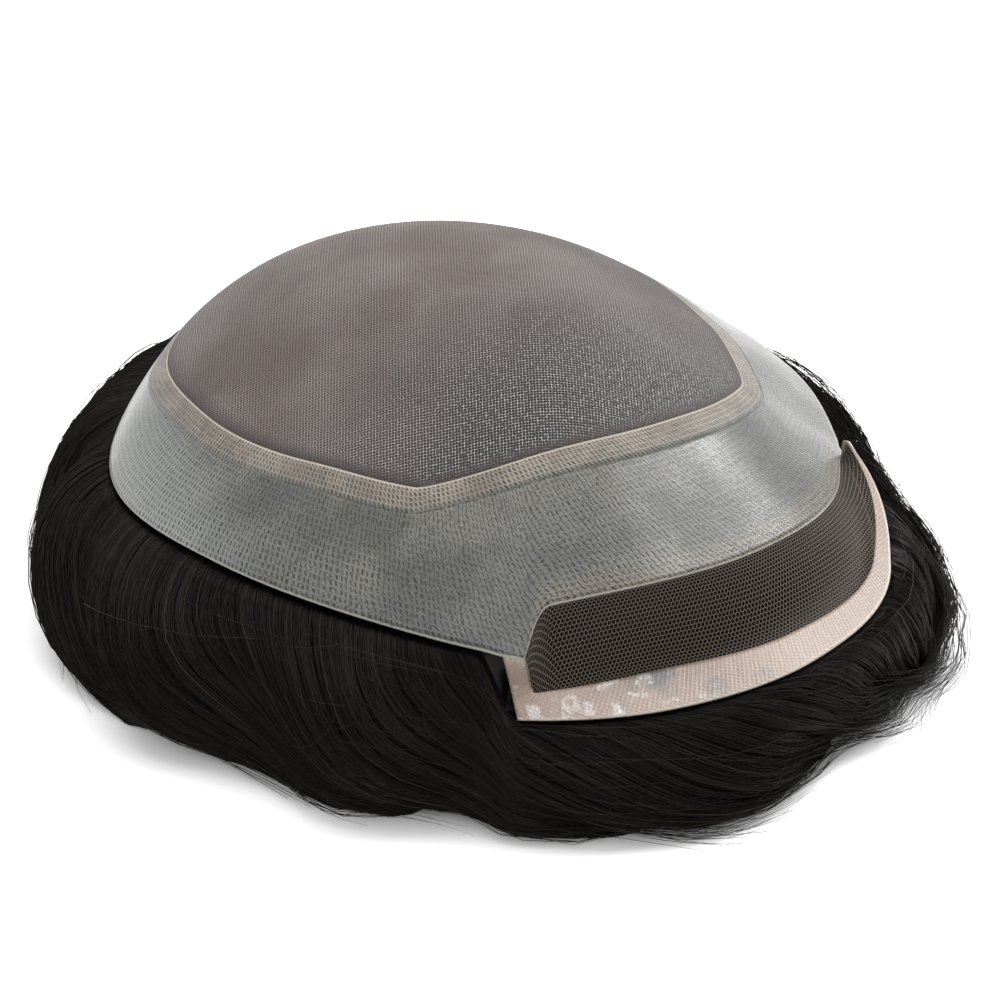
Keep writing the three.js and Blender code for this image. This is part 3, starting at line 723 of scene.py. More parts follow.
@dataclass(frozen=True)
class HairFinish:
    """Near-black hair with some olive-brown hairs in it."""

    name: str
    dark: Color = (0.0026, 0.0024, 0.0024)
    warm: Color = (0.021, 0.0155, 0.0095)
    streaked: bool = False
    relief: float = 0.0005

    def build(self) -> bpy.types.Material:
        """Single hairs take their colour from their own tint, and the mass is scored along its flow."""
        nodes = Nodes(self.name)
        if self.streaked:
            streak = nodes.noise(nodes.uv(0, (5.5, 0.35)), 1.0, 4)
            nodes.bump(streak, self.relief)
            amount = nodes.times(nodes.ramp(streak, 0.5, 0.8), 0.3)
        else:
            amount = nodes.value("tint")
        return nodes.finish(nodes.mix(amount, self.dark, self.warm), 0.42, Specular_IOR_Level=0.11)


def grid_faces(rows: int, columns: int, closed: bool = False) -> Array:
    """Corner numbers of the quads of a grid whose rows run outwards and columns to the right."""
    wide = columns if closed else columns - 1
    row, column = np.meshgrid(np.arange(rows - 1), np.arange(wide), indexing="ij")
    after = (column + 1) % columns
    first, second = row * columns + column, (row + 1) * columns + column
    third, fourth = (row + 1) * columns + after, row * columns + after
    return np.stack((first, second, third, fourth), -1).reshape(-1, 4)


def weld(obj: bpy.types.Object, distance: float) -> None:
    """Joins corners that lie together, and removes the corners that no face uses."""
    work = bmesh.new()
    work.from_mesh(obj.data)
    bmesh.ops.remove_doubles(work, verts=work.verts, dist=distance)
    loose = [vert for vert in work.verts if not vert.link_faces]
    bmesh.ops.delete(work, geom=loose, context="VERTS")
    work.to_mesh(obj.data)
    work.free()


def add_piece(name: str, points: Array, faces: Array, material: bpy.types.Material,
              sheet: Array | None = None) -> bpy.types.Object:
    """Makes a mesh from points in the base's own frame.

    Args:
        name: The piece's name.
        points: Corners, in millimetres.
        faces: Corner numbers of each face.
        material: Its finish.
        sheet: For each corner, the place on the flat sheet in millimetres.

    Returns:
        The new object, shaded smooth, riding on the part.
    """
    mesh = bpy.data.meshes.new(name)
    corners = (points.reshape(-1, 3) + ROW_SHIFT) * MM
    mesh.from_pydata(corners, [], faces.tolist())
    if sheet is not None:
        layer = mesh.uv_layers.new(name="sheet")
        loops = np.empty(len(mesh.loops), dtype=np.int32)
        mesh.loops.foreach_get("vertex_index", loops)
        layer.data.foreach_set("uv", sheet.reshape(-1, 2)[loops].astype(np.float32).ravel())
    mesh.materials.append(material)
    mesh.shade_smooth()
    obj = bpy.data.objects.new(name, mesh)
    bpy.context.scene.collection.objects.link(obj)
    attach(obj, "root")
    return obj


def add_values(obj: bpy.types.Object, name: str, values: Array) -> None:
    """Keeps one number for each corner of a mesh, under a name that its finish reads."""
    layer = obj.data.attributes.new(name, "FLOAT", "POINT")
    layer.data.foreach_set("value", values.ravel().astype(np.float32))


def face_area(obj: bpy.types.Object) -> float:
    """Area of all the faces of a mesh, in square metres."""
    areas = np.empty(len(obj.data.polygons))
    obj.data.polygons.foreach_get("area", areas)
    return float(areas.sum())


def finish_sheet(obj: bpy.types.Object, wall: float, node: str) -> bpy.types.Object:
    """Closes a sheet's seam, gives it its wall below its upper side and hides the part it replaces."""
    weld(obj, 0.01 * MM)
    solid = obj.modifiers.new("wall", "SOLIDIFY")
    solid.thickness = wall * MM
    solid.offset = -1
    solid.use_rim = True
    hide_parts(node)
    return obj


def row_lengths(points: Array, axis: int) -> Array:
    """Length run along one axis of a grid of points, from its first row or column."""
    steps = np.linalg.norm(np.diff(points, axis=axis), axis=-1)
    start = np.zeros_like(np.take(steps, [0], axis=axis))
    return np.concatenate((start, np.cumsum(steps, axis=axis)), axis=axis)


@dataclass
class DomeBand:
    """A ring of sheet on the dome between two edges, its seam at the back."""

    name: str
    rings: int
    step: float
    wall: float

    def headings(self) -> Array:
        """Even headings once round from the back, closer at the skin's two front corners."""
        even = np.linspace(-180, 180, int(360 / self.step) + 1)
        corners = ((BASE.skin_corner, BASE.corner_sweep), (BASE.far_corner, BASE.far_sweep))
        near, far = (np.linspace(corner - sweep - 0.4, corner + 0.1, 22) for corner, sweep in corners)
        return np.unique(np.round(np.concatenate((even, far, -near)), 4))

    def grid(self, inner: Array, outer: Array) -> Array:
        """Points over the dome, at even shares from the inner edge to the outer."""
        heading = self.headings()
        share = np.linspace(0, 1, self.rings)[:, None]
        radius = inner + (outer - inner) * share
        return on_plan(heading, radius, BASE.dome_height(heading, radius))

    def run(self, points: Array, pitch: float) -> Array:
        """Length round the band on its middle ring, fitted to whole pitches so it closes on itself."""
        middle = row_lengths(points, 1)[self.rings // 2]
        fitted = middle * (round(middle[-1] / pitch) * pitch / middle[-1])
        return np.broadcast_to(fitted, points.shape[:2])

    def dress(self, points: Array, sheet: Array, material: bpy.types.Material, node: str) -> bpy.types.Object:
        """Makes the band's mesh, closes its seam, gives it its wall and hides the part it replaces."""
        obj = add_piece(self.name, points, grid_faces(*points.shape[:2]), material, sheet)
        return finish_sheet(obj, self.wall, node)


@dataclass
class CrownNet(DomeBand):
    """The net crown patch."""

    name: str = "crown_net"
    rings: int = 36
    step: float = 2.5
    wall: float = 0.45
    tuck: float = 0.2
    hem: float = 1.6
    hem_fade: float = 2.2

    def build(self) -> bpy.types.Object:
        """Builds the patch from the middle to its edge, closes the middle and marks the hem where the net
        lies double.
        """
        heading = self.headings()
        pole = np.full_like(heading, 0.02)
        points = self.grid(pole, BASE.soft_crown_edge(heading) + self.tuck)
        faces = grid_faces(*points.shape[:2])
        obj = add_piece(self.name, points, faces, NetFinish().build(), points[..., :2].copy())
        inwards = row_lengths(points[::-1], 0)[::-1]
        add_values(obj, "hem", 1 - smooth((inwards - self.hem) / self.hem_fade))
        finish_sheet(obj, self.wall, "crown_mesh")
        return obj


@dataclass
class BindingRibbon(DomeBand):
    """The ribbon that binds the crown's edge."""

    name: str = "binding_ribbon_cloth"
    rings: int = 7
    step: float = 1.5
    wall: float = 0.55
    proud: float = 0.1

    def build(self) -> bpy.types.Object:
        """Builds the ribbon almost level with the film, rounded across its width."""
        heading = self.headings()
        inner = BASE.crown_offset(-0.1, heading)
        outer = BASE.crown_offset(BASE.seam + BASE.ribbon_width, heading)
        points = self.grid(inner, outer)
        crown = self.proud * np.sin(np.linspace(0.15, math.pi - 0.15, self.rings)) ** 0.5
        points[..., 2] += crown[:, None]
        finish = RibbonFinish()
        sheet = np.stack((self.run(points, finish.stitches.pitch[0]), row_lengths(points, 0)), -1)
        obj = self.dress(points, sheet, finish.build(), "binding_ribbon")
        return obj


@dataclass
class SkinBand(DomeBand):
    """The film band from the ribbon down to the rim."""

    name: str = "skin_film"
    rings: int = 24
    step: float = 2.0
    wall: float = 0.5
    backing_width: float = 4.6
    overlap: float = 0.7

    def build(self) -> bpy.types.Object:
        """Builds the band and marks the strengthened strip along its front edge."""
        heading = self.headings()
        inner = BASE.crown_offset(BASE.seam + BASE.ribbon_width - 0.3, heading)
        within = 1 - smooth(BASE.past_flap(heading, 0.0) / 2)
        points = self.grid(inner, BASE.skin_edge(heading) + self.overlap * within)
        points[..., 2] += 0.14 * within * np.linspace(0, 1, self.rings)[:, None] ** 3
        inwards = row_lengths(points[::-1], 0)[::-1]
        finish = SkinFinish()
        past = np.maximum(heading - BASE.far_corner, -BASE.skin_corner - heading)
        front = 1 - smooth((past + 1.2) / 1.2)
        strip = (1 - smooth((inwards - self.backing_width) / 1.6)) * front
        sheet = np.stack((self.run(points, finish.knots.pitch[0]), inwards), -1)
        obj = add_piece(self.name, points, grid_faces(*points.shape[:2]), finish.build(), sheet)
        add_values(obj, "backing", strip)
        finish_sheet(obj, self.wall, "skin_band")
        return obj


@dataclass
class FrontLace:
    """The open lace of the front flap, each of its six-sided cells modelled."""

    name: str = "front_lace_net"
    pitch: float = 0.94
    hole: float = 0.82
    wall: float = 0.1
    columns: int = 240

    def fall(self, station: Array) -> Array:
        """Length of the lace down the flap at each station."""
        rows = np.linspace(0, BASE.tape_row, 24)[:, None]
        return row_lengths(BASE.flap_point(station[None, :], rows), 0)[-1]

    def build(self) -> bpy.types.Object:
        """Lays a honeycomb on the flat flap and carries its corners onto the surface."""
        span = BASE.leg_station + 0.004
        line = np.linspace(-span, span, self.columns)
        middle = BASE.flap_point(line, np.full_like(line, BASE.tape_row * 0.6))
        run = row_lengths(middle[None], 1)[0]
        fall = self.fall(line)
        deepest = fall.max()
        rise = self.pitch * math.sqrt(3) / 2
        counts = int(deepest / rise) + 2, int(run[-1] / self.pitch) + 2
        row, column = np.meshgrid(*(np.arange(count) for count in counts), indexing="ij")
        centre = np.stack((column * self.pitch + (row % 2) * self.pitch / 2, row * rise), -1).reshape(-1, 2)
        inside = (centre[:, 0] < run[-1]) & (centre[:, 1] < np.interp(centre[:, 0], run, fall))
        centre = centre[inside]
        angle = np.radians(np.arange(6) * 60 + 30)
        spokes = np.stack((np.cos(angle), np.sin(angle)), -1) * self.pitch / math.sqrt(3)
        outer = centre[:, None] + spokes
        inner = centre[:, None] + spokes * self.hole
        corners, number = np.unique(np.round(outer.reshape(-1, 2), 3), axis=0, return_inverse=True)
        number = number.reshape(-1, 6)
        flat = np.concatenate((corners, inner.reshape(-1, 2)))
        inward = len(corners) + np.arange(inner.shape[0] * 6).reshape(-1, 6)
        ring = np.stack((number, np.roll(number, -1, 1), np.roll(inward, -1, 1), inward), -1).reshape(-1, 4)
        across = np.clip(flat[:, 0], 0, run[-1])
        down = np.clip(flat[:, 1] / np.interp(across, run, fall), 0, 1)
        points = BASE.flap_point(np.interp(across, run, line), down * BASE.tape_row)
        obj = add_piece(self.name, points, ring[:, ::-1], LaceFinish().build(), np.stack((across, down), -1))
        area = face_area(obj)
        finish_sheet(obj, self.wall, "front_lace")
        return obj


@dataclass
class FrontTape:
    """The coated tape along the flap's foot and up its two legs."""

    name: str = "front_tape_strip"
    wall: float = 0.5
    far_leg: float = 0.2
    leg_columns: int = 8
    columns: int = 150
    rows: int = 34

    def build(self) -> bpy.types.Object:
        """Builds the whole flap's grid and keeps the cells under the tape."""
        leg = BASE.leg_station
        side = np.linspace(leg, 1, self.leg_columns)
        stations = np.concatenate((-side[::-1], np.linspace(-leg, leg, self.columns)[1:-1], side))
        lace_rows = np.linspace(0, BASE.tape_row - 0.012, self.rows - 12)
        rows = np.concatenate((lace_rows, np.linspace(BASE.tape_row - 0.01, 1, 12)))
        beyond = np.maximum(stations - leg, 0)
        points = BASE.flap_point((stations - beyond * (1 - self.far_leg))[None, :], rows[:, None])
        points[..., 2] += 0.12
        faces = grid_faces(len(rows), len(stations))
        row = np.repeat(np.arange(len(rows) - 1), len(stations) - 1)
        column = np.tile(np.arange(len(stations) - 1), len(rows) - 1)
        last = len(stations) - self.leg_columns
        kept = (row >= len(lace_rows)) | (column < self.leg_columns - 1) | (column >= last)
        run = row_lengths(points, 1)[-1]
        across = np.broadcast_to(run - run[-1] / 2, points.shape[:2])
        foot = row_lengths(points[::-1], 0)[::-1]
        obj = add_piece(self.name, points, faces[kept], TapeFinish().build(), np.stack((across, foot), -1))
        area = face_area(obj)
        finish_sheet(obj, self.wall, "front_tape")
        return obj


@dataclass(frozen=True)
class Valley:
    """A dip between two large locks, which follows one root's line down to the floor."""

    root: float
    depth: float
    width: float


@dataclass(frozen=True)
class Tuft:
    """A loose lock lying on or beside the mass, in degrees round the base and millimetres."""

    root: float
    end: float
    start: float
    bulge: float
    throw: float
    lift: float
    hairs: int


@dataclass(frozen=True)
class StrandPlan:
    """One set of hairs laid over the mass between two headings."""

    kind: StrandSet
    first: float
    last: float
    count: int


@dataclass
class HairFlow:
    """The lie of the hair: its outer surface, and how it turns towards the front as it falls."""

    reach: float = 30
    rise: float = 31
    root_steps: int = 24
    reach_shares: tuple[float, ...] = (
        0.22, 0.2, 0.38, 0.43, 0.36, 0.4, 0.45, 0.53, 0.6, 0.68, 0.76, 0.81, 0.84, 0.82, 0.79, 0.77, 0.73,
        0.75, 0.83, 0.62, 0.79, 0.41, 0.49, 0.51)
    rise_shares: tuple[float, ...] = (0.8, 0.78, 0.85, 0.9, 1, 1, 1.05, 1.05, 1, 0.98, 0.92, 0.8)
    swing_shares: tuple[float, ...] = (20, 0, -22, -36, -30, -18, 0, 22, 38, 42, 38, 34)
    power_shares: tuple[float, ...] = (1.1, 1.2, 1.7, 2, 2, 2, 2, 2, 2, 2, 2, 1.4)
    out_shares: tuple[float, ...] = (-0.02, 0.2, 0.5, 0.8, 0.97, 0.98, 0.84)
    up_shares: tuple[float, ...] = (1.0, 0.98, 0.93, 0.72, 0.44, 0.2, 0)
    collar: float = 0.35
    settle: float = 6.0
    off_floor: float = 0.15
    valleys: tuple[Valley, ...] = (
        Valley(-141, 12.0, 6.0), Valley(-120, 7.5, 6.0), Valley(-91, 4.5, 5.0), Valley(-60, 2.5, 5.0),
        Valley(-28, 4.0, 7.0), Valley(0, 3.0, 8.0), Valley(70, 3.0, 8.0), Valley(118, 4.0, 9.0),
        Valley(160, 4.0, 8.0))

    def edge(self, heading: Array) -> tuple[Array, Array]:
        """Radius and height where the hair comes out from under the base.

        Args:
            heading: Degrees round from the front.

        Returns:
            The flap's foot or the rim, each moved in and down, blended over a few degrees.
        """
        station = BASE.flap_station(heading, 1.0)
        foot = BASE.flap_point(station, np.ones_like(station))
        foot_radius, foot_height = np.hypot(foot[..., 0], foot[..., 1]) - 1.0, foot[..., 2] - 1.3
        beside = BASE.flap_heading(np.sign(from_front(heading)), 0.0)
        rim = BASE.skin_edge(np.where(BASE.past_flap(heading, 0.0) < 0, beside, heading))
        rim_height = BASE.rim_height * around(BASE.rim_shares, heading) - 1.1
        beyond = smooth(BASE.past_flap(heading, 1.0) / self.settle)
        low = np.minimum(foot_height, rim_height)
        return (foot_radius + (rim - 0.9 - foot_radius) * beyond, low + (rim_height - low) * beyond)

    def turn(self, root: Array, fall: Array) -> Array:
        """Heading reached by the hair of one root: root + swing fall^power."""
        return root + around(self.swing_shares, root) * np.clip(fall, 0, 2) ** around(self.power_shares, root)

    def root_of(self, heading: Array, fall: Array) -> Array:
        """Root whose hair passes a place, found by repeating root = heading - (turn - root)."""
        root = np.array(heading, dtype=float)
        for _ in range(self.root_steps):
            root = heading - (self.turn(root, fall) - root)
        return root

    def relief(self, root: Array, fall: Array) -> Array:
        """Height of the locks over the plain outer form, in millimetres.

        Args:
            root: Heading at which the hair left the base.
            fall: Place down the section, from 0 at the base to 1 on the floor.

        Returns:
            Valleys -depth exp(-((root - valley) / width)^2), and three sets of rounded ridges along
            the flow, all growing towards the floor.
        """
        angle = np.radians(root)
        grow = smooth(fall * 1.25)
        dips = sum(item.depth * np.exp(-((from_front(root - item.root) / item.width) ** 2))
                   for item in self.valleys)
        broad = np.abs(np.sin(angle * 9.5 + 0.8 + 0.5 * np.sin(3 * angle))) ** 0.7
        locks = np.abs(np.sin(angle * 23 + 0.9 * np.sin(5 * angle + 1))) ** 0.8
        fine = np.abs(np.sin(angle * 71 + 1.7 * np.sin(11 * angle)))
        return (-dips * grow + 1.7 * (broad - 0.6) * grow + 0.9 * (locks - 0.5) * (0.3 + 0.7 * grow)
                + 0.4 * (fine - 0.5)) * smooth(fall * 5)

    def point(self, heading: Array, fall: Array, lift: Array | float = 0.0,
              root: Array | None = None) -> Array:
        """Point on the hair's outer surface.

        Args:
            heading: Degrees round from the front.
            fall: Place down the section, from 0 at the base to 1 on the floor.
            lift: Extra height off the surface, in millimetres.
            root: The root whose hair passes there, where it is known.

        Returns:
            Edge radius plus out times reach, and up times rise, joined to the edge's own height by
            a short collar and pushed off along the section's normal by the relief and the lift.
        """
        heading, fall = np.broadcast_arrays(np.asarray(heading, float), np.asarray(fall, float))
        radius, top = self.edge(heading)
        reach = self.reach * around(self.reach_shares, heading)
        rise = np.minimum(self.rise * around(self.rise_shares, heading), top)

        def section(share: Array) -> tuple[Array, Array]:
            """Radius and height of the plain outer form at a share of the fall."""
            spread = radius + reach * along(self.out_shares, share)
            collar = (top - rise) * (1 - smooth(share / self.collar))
            return spread, rise * along(self.up_shares, share) + collar

        step = 0.02
        (before, low), (after, high) = section(fall - step), section(fall + step)
        run, climb = after - before, high - low
        size = np.hypot(run, climb) + 1e-6
        off = self.relief(self.root_of(heading, fall) if root is None else root, fall) + lift
        spread, height = section(fall)
        spread, height = spread - climb / size * off, height + run / size * off
        return on_plan(heading, spread, np.maximum(height, self.off_floor))


@dataclass
class HairMass:
    """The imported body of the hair, hollow below the crown."""

    flow: HairFlow
    name: str = "hair_mass"
    columns: int = 720
    under_film: float = 2.4
    under_lace: float = 2.0
    depth: float = 16.0

    def under_base(self, heading: Array) -> Array:
        """Rows under the base, from the crown's middle to the edge of the hair."""
        radius, top = self.flow.edge(heading)
        share = np.linspace(0.0005, 1, 12)[:, None]
        inner = BASE.skin_edge(heading) - 3.0
        dome = on_plan(heading, inner * share, BASE.dome_height(heading, inner * share) - self.under_film)
        within = BASE.past_flap(heading, 0.0) <= 0
        station = BASE.flap_station(heading, 0.0)
        rows = np.linspace(0.15, 0.85, 6)[:, None]
        lace = BASE.flap_point(station[None, :], rows)
        lace_radius = np.hypot(lace[..., 0], lace[..., 1]) - 2.8
        plain = inner + (radius - 1 - inner) * rows
        dome_end = dome[-1, :, 2]
        level = dome_end + (top - dome_end) * rows
        radii = np.where(within, lace_radius, plain)
        heights = np.where(within, lace[..., 2] - self.under_lace, np.minimum(level, dome_end))
        film = BASE.skin_edge(heading) + 1.5
        under = BASE.dome_height(heading, np.minimum(radii, film)) - self.under_film
        heights = np.where(radii < film, np.minimum(heights, under), heights)
        return np.concatenate((dome, on_plan(heading, radii, heights)))

    def build(self) -> bpy.types.Object:
        """Builds the closed body: under the base, down the outside, over the floor, up the hollow."""
        heading = np.arange(self.columns) * 360 / self.columns
        fall = np.linspace(0, 1, 44)[:, None]
        outside = self.flow.point(heading[None, :], fall, -0.4)
        hollow_radius = BASE.crown_offset(BASE.ribbon_width, heading) - 3
        share = np.linspace(1, 0.0005, 10)[:, None]
        roof_radius = hollow_radius * share
        roof = on_plan(heading, roof_radius, BASE.dome_height(heading, roof_radius) - self.depth)
        foot = on_plan(heading, hollow_radius, np.full_like(heading, 0.1))
        points = np.concatenate((self.under_base(heading), outside, foot[None], roof))
        root = self.flow.root_of(np.broadcast_to(heading, outside.shape[:2]), fall)
        flat = np.zeros((*points.shape[:2], 2))
        start = len(points) - len(outside) - len(roof) - 1
        flat[start:start + len(outside), :, 0] = root
        flat[start:start + len(outside), :, 1] = fall * 40
        finish = HairFinish("hair_mass", streaked=True).build()
        obj = add_piece(self.name, points, grid_faces(len(points), self.columns, closed=True), finish, flat)
        weld(obj, 0.06 * MM)
        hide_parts("hair")
        return obj


@dataclass
class HairStrands:
    """Single hairs that lie on the mass, each a closed tapered thread with three sides."""

    flow: HairFlow
    steps: int = 13
    sides: int = 3
    clump: float = 3.2
    plans: tuple[StrandPlan, ...] = (
        StrandPlan(StrandSet.SIDE_BACK, -180, -112, 2100), StrandPlan(StrandSet.SIDE, -112, -48, 2500),
        StrandPlan(StrandSet.FRONT, -48, 12, 2500), StrandPlan(StrandSet.CORNER, 12, 80, 1700),
        StrandPlan(StrandSet.FAR_SIDE, 80, 180, 2250))
    tufts: tuple[Tuft, ...] = (
        Tuft(66, 23, 0.15, 5.0, 1.5, 3.0, 240), Tuft(58, 30, 0.3, 3.5, 3.0, 2.0, 130),
        Tuft(84, 52, 0.2, 2.0, 1.5, 2.0, 130), Tuft(-2, 30, 0.35, 0.0, 7.0, 2.0, 60),
        Tuft(44, 12, 0.4, 3.0, 8.0, 3.0, 26), Tuft(96, 66, 0.2, 4.0, 5.0, 3.0, 24),
        Tuft(-44, -10, 0.6, 0.0, 9.0, 1.0, 14), Tuft(-84, -52, 0.7, 0.0, 6.0, 0.8, 10),
        Tuft(-132, -104, 0.7, 1.0, 5.0, 0.8, 12),
        Tuft(-16, 20, 0.45, 0.0, 6.5, 1.2, 44), Tuft(-32, 8, 0.6, 0.0, 4.5, 1.0, 26),
        Tuft(-62, -20, 0.7, 0.0, 3.5, 0.8, 16), Tuft(-104, -68, 0.75, 0.0, 2.5, 0.8, 10),
        Tuft(-150, -126, 0.7, 1.0, 1.8, 0.8, 10), Tuft(122, 94, 0.3, 2.0, 2.5, 2.5, 80),
        Tuft(166, 150, 0.4, 1.5, 2.5, 2.0, 50))
    strays: int = 90

    def threads(self, path: Array, width: Array) -> tuple[Array, Array]:
        """Carries a small triangle along each path.

        Args:
            path: Points of each hair, with shape (hairs, steps, 3).
            width: Radius at each step, with shape (hairs, steps).

        Returns:
            Points and triangles of all the threads, closed at both ends.
        """
        hairs, steps = path.shape[:2]
        tangent = np.gradient(path, axis=1)
        tangent /= np.linalg.norm(tangent, axis=-1, keepdims=True) + 1e-9
        outwards = path * np.array([1, 1, 0.4])
        side = np.cross(tangent, outwards)
        side /= np.linalg.norm(side, axis=-1, keepdims=True) + 1e-9
        away = np.cross(side, tangent)
        angle = 2 * math.pi * np.arange(self.sides) / self.sides
        ring = (side[:, :, None] * np.cos(angle)[:, None] + away[:, :, None] * np.sin(angle)[:, None])
        points = path[:, :, None] + ring * width[:, :, None, None]
        base = np.arange(hairs)[:, None, None] * steps * self.sides
        step = np.arange(steps - 1)[None, :, None] * self.sides
        side_number = np.arange(self.sides)[None, None, :]
        after = (side_number + 1) % self.sides
        first, second = base + step + side_number, base + step + after
        third, fourth = second + self.sides, first + self.sides
        walls = np.stack((np.stack((first, second, third), -1), np.stack((first, third, fourth), -1)), -2)
        ends = base[:, 0] + (steps - 1) * self.sides
        caps = np.stack((base[:, 0] + np.array([0, 2, 1]), ends + np.array([0, 1, 2])), 1)
        faces = np.concatenate((walls.reshape(-1, 3), caps.reshape(-1, 3)))
        return points, faces

    def taper(self, thick: Array, share: Array) -> Array:
        """Radius along a hair: full for most of its length and fine at its two ends."""
        return thick * (0.3 + 0.7 * smooth(share * 6) * (1 - 0.9 * smooth((share - 0.7) / 0.3)))

    def tints(self, chance: np.random.Generator, root: Array) -> Array:
        """Share of brown in each hair: mostly a little, drifting from lock to lock, some a lot."""
        drift = 0.5 + 0.5 * np.sin(np.radians(root) * 31 + 2 * np.sin(np.radians(root) * 7))
        single = chance.uniform(0, 1, root.shape)
        return np.clip(0.1 + 0.25 * drift * single + 0.9 * (single > 0.93) * (0.3 + drift), 0, 1)

    def cover(self, plan: StrandPlan) -> tuple[Array, Array, Array]:
        """Paths of the hairs that lie on the mass.

        Args:
            plan: The span of roots and the count.

        Returns:
            Paths with shape (hairs, steps, 3), widths with shape (hairs, steps), and tints.
        """
        chance = np.random.default_rng(SEED + list(StrandSet).index(plan.kind))
        share = np.linspace(0, 1, self.steps)[None, :]
        root = chance.uniform(plan.first, plan.last, plan.count)[:, None]
        lock = np.round(root / self.clump) * self.clump
        whole = chance.uniform(0, 1, plan.count)[:, None] < 0.62
        start = np.where(whole, 0.0, chance.uniform(0.0, 0.6, plan.count)[:, None])
        end = 1.0 - chance.exponential(0.05, plan.count)[:, None].clip(0, 0.35)
        fall = start + (end - start) * share
        phase = np.radians(lock)
        wave = 0.9 * np.sin(6 * fall + phase * 9) + 0.45 * np.sin(13 * fall + phase * 23)
        lane = root + (lock - root) * 0.55 * smooth(fall) + (wave + chance.normal(0, 0.5, root.shape)) * fall
        peak = chance.uniform(0.25, 1.1, root.shape) + chance.exponential(0.25, root.shape)
        lift = peak * np.sin(math.pi * share) ** 0.6 - 0.3
        path = self.flow.point(self.flow.turn(lane, fall), fall, lift, lane)
        width = self.taper(chance.uniform(0.08, 0.155, root.shape), share)
        path[..., 2] = np.maximum(path[..., 2], width + 0.05)
        return path, width, self.tints(chance, root)

    def tuft(self, plan: Tuft, chance: np.random.Generator) -> tuple[Array, Array, Array]:
        """Paths of one loose lock.

        Args:
            plan: Where the lock runs and how far it stands out.
            chance: The source of its small differences.

        Returns:
            Paths, widths and tints, as cover gives them. A hair bulges outwards by
            bulge sin(pi s) and is thrown outwards by throw s^2.
        """
        share = np.linspace(0, 1, self.steps)[None, :]
        root = plan.root + chance.normal(0, 3.2, plan.hairs)[:, None]
        end = plan.end + chance.normal(0, 4.5, plan.hairs)[:, None]
        start = plan.start + chance.uniform(-0.1, 0.1, plan.hairs)[:, None]
        fall = np.clip(start + (0.96 - start) * share ** 0.85, 0, 1)
        heading = root + (end - root) * share ** chance.uniform(1.2, 1.9, root.shape)
        lift = plan.lift * chance.uniform(0.2, 1, root.shape) * np.sin(math.pi * share)
        path = self.flow.point(heading, fall, lift + 0.1)
        out = (plan.bulge * chance.uniform(0.6, 1.3, root.shape) * np.sin(math.pi * share) ** 1.5
               + plan.throw * chance.uniform(0.2, 1.5, root.shape) * share**2)
        angle = np.radians(heading)
        path = path + np.stack((np.sin(angle), -np.cos(angle), np.zeros_like(angle)), -1) * out[..., None]
        width = self.taper(chance.uniform(0.06, 0.11, root.shape), share)
        path[..., 2] = np.maximum(path[..., 2], width + 0.05)
        return path, width, self.tints(chance, root)

    def loose_tufts(self) -> tuple[Array, Array, Array]:
        """Paths of all the loose locks."""
        chance = np.random.default_rng(SEED + list(StrandSet).index(StrandSet.TUFTS))
        parts = [self.tuft(plan, chance) for plan in self.tufts]
        return tuple(np.concatenate(column) for column in zip(*parts))

    def stray(self) -> tuple[Array, Array, Array]:
        """Paths of single hairs that cross the flow of the others, on curved lines of their own."""
        chance = np.random.default_rng(SEED + list(StrandSet).index(StrandSet.STRAYS))
        share = np.linspace(0, 1, self.steps)[None, :]
        size = (self.strays, 1)
        root = np.concatenate((chance.uniform(-80, -30, (self.strays // 2, 1)),
                               chance.uniform(-180, 180, (self.strays - self.strays // 2, 1))))
        start = chance.uniform(0.15, 0.6, size)
        fall = np.clip(start + chance.uniform(-0.1, 0.5, size) * share, 0.05, 0.97)
        bend = chance.normal(0, 14, size) * share + chance.normal(0, 16, size) * share**2
        lift = 0.5 + chance.uniform(0.5, 2.4, size) * np.sin(math.pi * share)
        path = self.flow.point(self.flow.turn(root, fall) + bend, fall, lift)
        width = self.taper(chance.uniform(0.05, 0.08, size), share)
        return path, width, chance.uniform(0.3, 1, size)

    def build(self) -> list[bpy.types.Object]:
        """Builds each set of hairs as one piece."""
        sets = {plan.kind: self.cover(plan) for plan in self.plans}
        sets |= {StrandSet.TUFTS: self.loose_tufts(), StrandSet.STRAYS: self.stray()}
        finish = HairFinish("hair_strands").build()
        pieces = []
        for kind, (path, width, tint) in sets.items():
            obj = add_piece(f"hair_{kind.value}", *self.threads(path, width), finish)
            add_values(obj, "tint", np.repeat(tint.ravel(), self.steps * self.sides))
            pieces.append(obj)
        return pieces


@dataclass(frozen=True)
class Lamp:
    """A square soft light: its place and size in metres, and its power in watts."""

    name: str
    place: tuple[float, float, float]
    size: float
    power: float


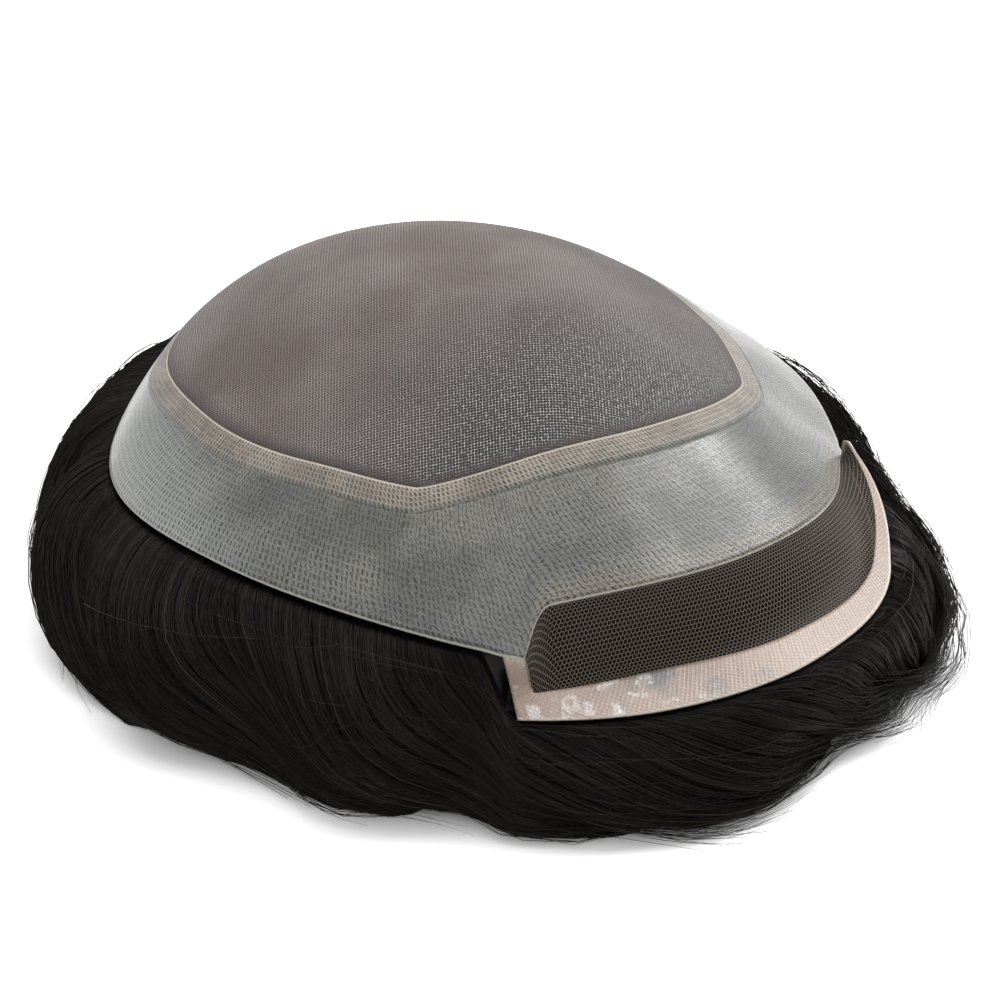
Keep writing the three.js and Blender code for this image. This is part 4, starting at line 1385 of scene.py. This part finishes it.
@dataclass
class Studio:
    """A plain pale floor, soft lights, an even sky and the camera."""

    azimuth: float = -40.0
    elevation: float = 28.0
    distance: float = 0.62
    side_shift: float = -0.005522640823
    up_shift: float = 0.019635063078
    lens: float = 93.6
    sky: float = 0.85
    aim: float = 0.04
    half_floor: float = 6.0
    lamps: tuple[Lamp, ...] = (
        Lamp("key", (0.9, -0.2, 1.1), 0.8, 17), Lamp("fill", (-1.0, -0.9, 0.8), 1.2, 8.5),
        Lamp("top", (0.0, 0.5, 1.5), 1.2, 13), Lamp("gleam", (1.15, 0.12, 0.72), 0.3, 5))

    def camera(self) -> bpy.types.Object:
        """Places the camera by its angles round the crown's middle, moved sideways and up."""
        turn, tilt = math.radians(self.azimuth), math.radians(self.elevation)
        back = np.array([math.sin(turn) * math.cos(tilt), -math.cos(turn) * math.cos(tilt), math.sin(tilt)])
        right = np.array([math.cos(turn), math.sin(turn), 0.0])
        up = np.cross(back, right)
        data = bpy.data.cameras.new("camera")
        data.lens, data.sensor_width, data.clip_start = self.lens, 36.0, 0.01
        camera = bpy.data.objects.new("camera", data)
        place = back * self.distance + right * self.side_shift + up * self.up_shift + ROW_SHIFT * MM
        camera.location = place
        camera.rotation_euler = (math.pi / 2 - tilt, 0.0, turn)
        bpy.context.scene.collection.objects.link(camera)
        bpy.context.scene.camera = camera
        return camera

    def light(self, plan: Lamp) -> None:
        """Adds one light, turned to face the crown."""
        data = bpy.data.lights.new(plan.name, "AREA")
        data.size, data.energy = plan.size, plan.power
        lamp = bpy.data.objects.new(plan.name, data)
        lamp.location = plan.place
        toward = np.array([0.0, 0.0, self.aim]) - np.array(plan.place)
        tilt = math.atan2(math.hypot(toward[0], toward[1]), -toward[2])
        turn = math.atan2(toward[1], toward[0]) - math.pi / 2
        lamp.rotation_euler = (tilt, 0.0, turn)
        bpy.context.scene.collection.objects.link(lamp)

    def floor(self) -> bpy.types.Object:
        """Adds the floor, with its slight roughness."""
        nodes = Nodes("studio_floor")
        tone = nodes.mix(nodes.noise(nodes.place(), 4, 2), (0.93, 0.93, 0.93), (0.95, 0.95, 0.95))
        mesh = bpy.data.meshes.new("studio_floor")
        corners = self.half_floor * np.array([[-1, -1, 0], [1, -1, 0], [1, 1, 0], [-1, 1, 0]], dtype=float)
        mesh.from_pydata(corners, [], [[0, 1, 2, 3]])
        mesh.materials.append(nodes.finish(tone, 0.9))
        floor = bpy.data.objects.new("studio_floor", mesh)
        bpy.context.scene.collection.objects.link(floor)
        return floor

    def build(self) -> None:
        """Builds the floor, the lights, the sky and the camera."""
        self.camera()
        self.floor()
        for lamp in self.lamps:
            self.light(lamp)
        world = bpy.data.worlds.new("studio")
        world.use_nodes = True
        sky = world.node_tree.nodes["Background"]
        sky.inputs[0].default_value = (1, 1, 1, 1)
        sky.inputs[1].default_value = self.sky
        bpy.context.scene.world = world
        bpy.context.scene.view_settings.view_transform = "Standard"


def main() -> None:
    """Builds every piece in order and logs the number of faces of each."""
    logging.basicConfig(level=logging.INFO)
    Studio().build()
    flow = HairFlow()
    pieces = [HairMass(flow).build(), CrownNet().build(), BindingRibbon().build(), SkinBand().build(),
              FrontLace().build(), FrontTape().build(), *HairStrands(flow).build()]
    for piece in pieces:
        LOG.info("%s: %d faces", piece.name, len(piece.data.polygons))


if __name__ == "__main__":
    main()
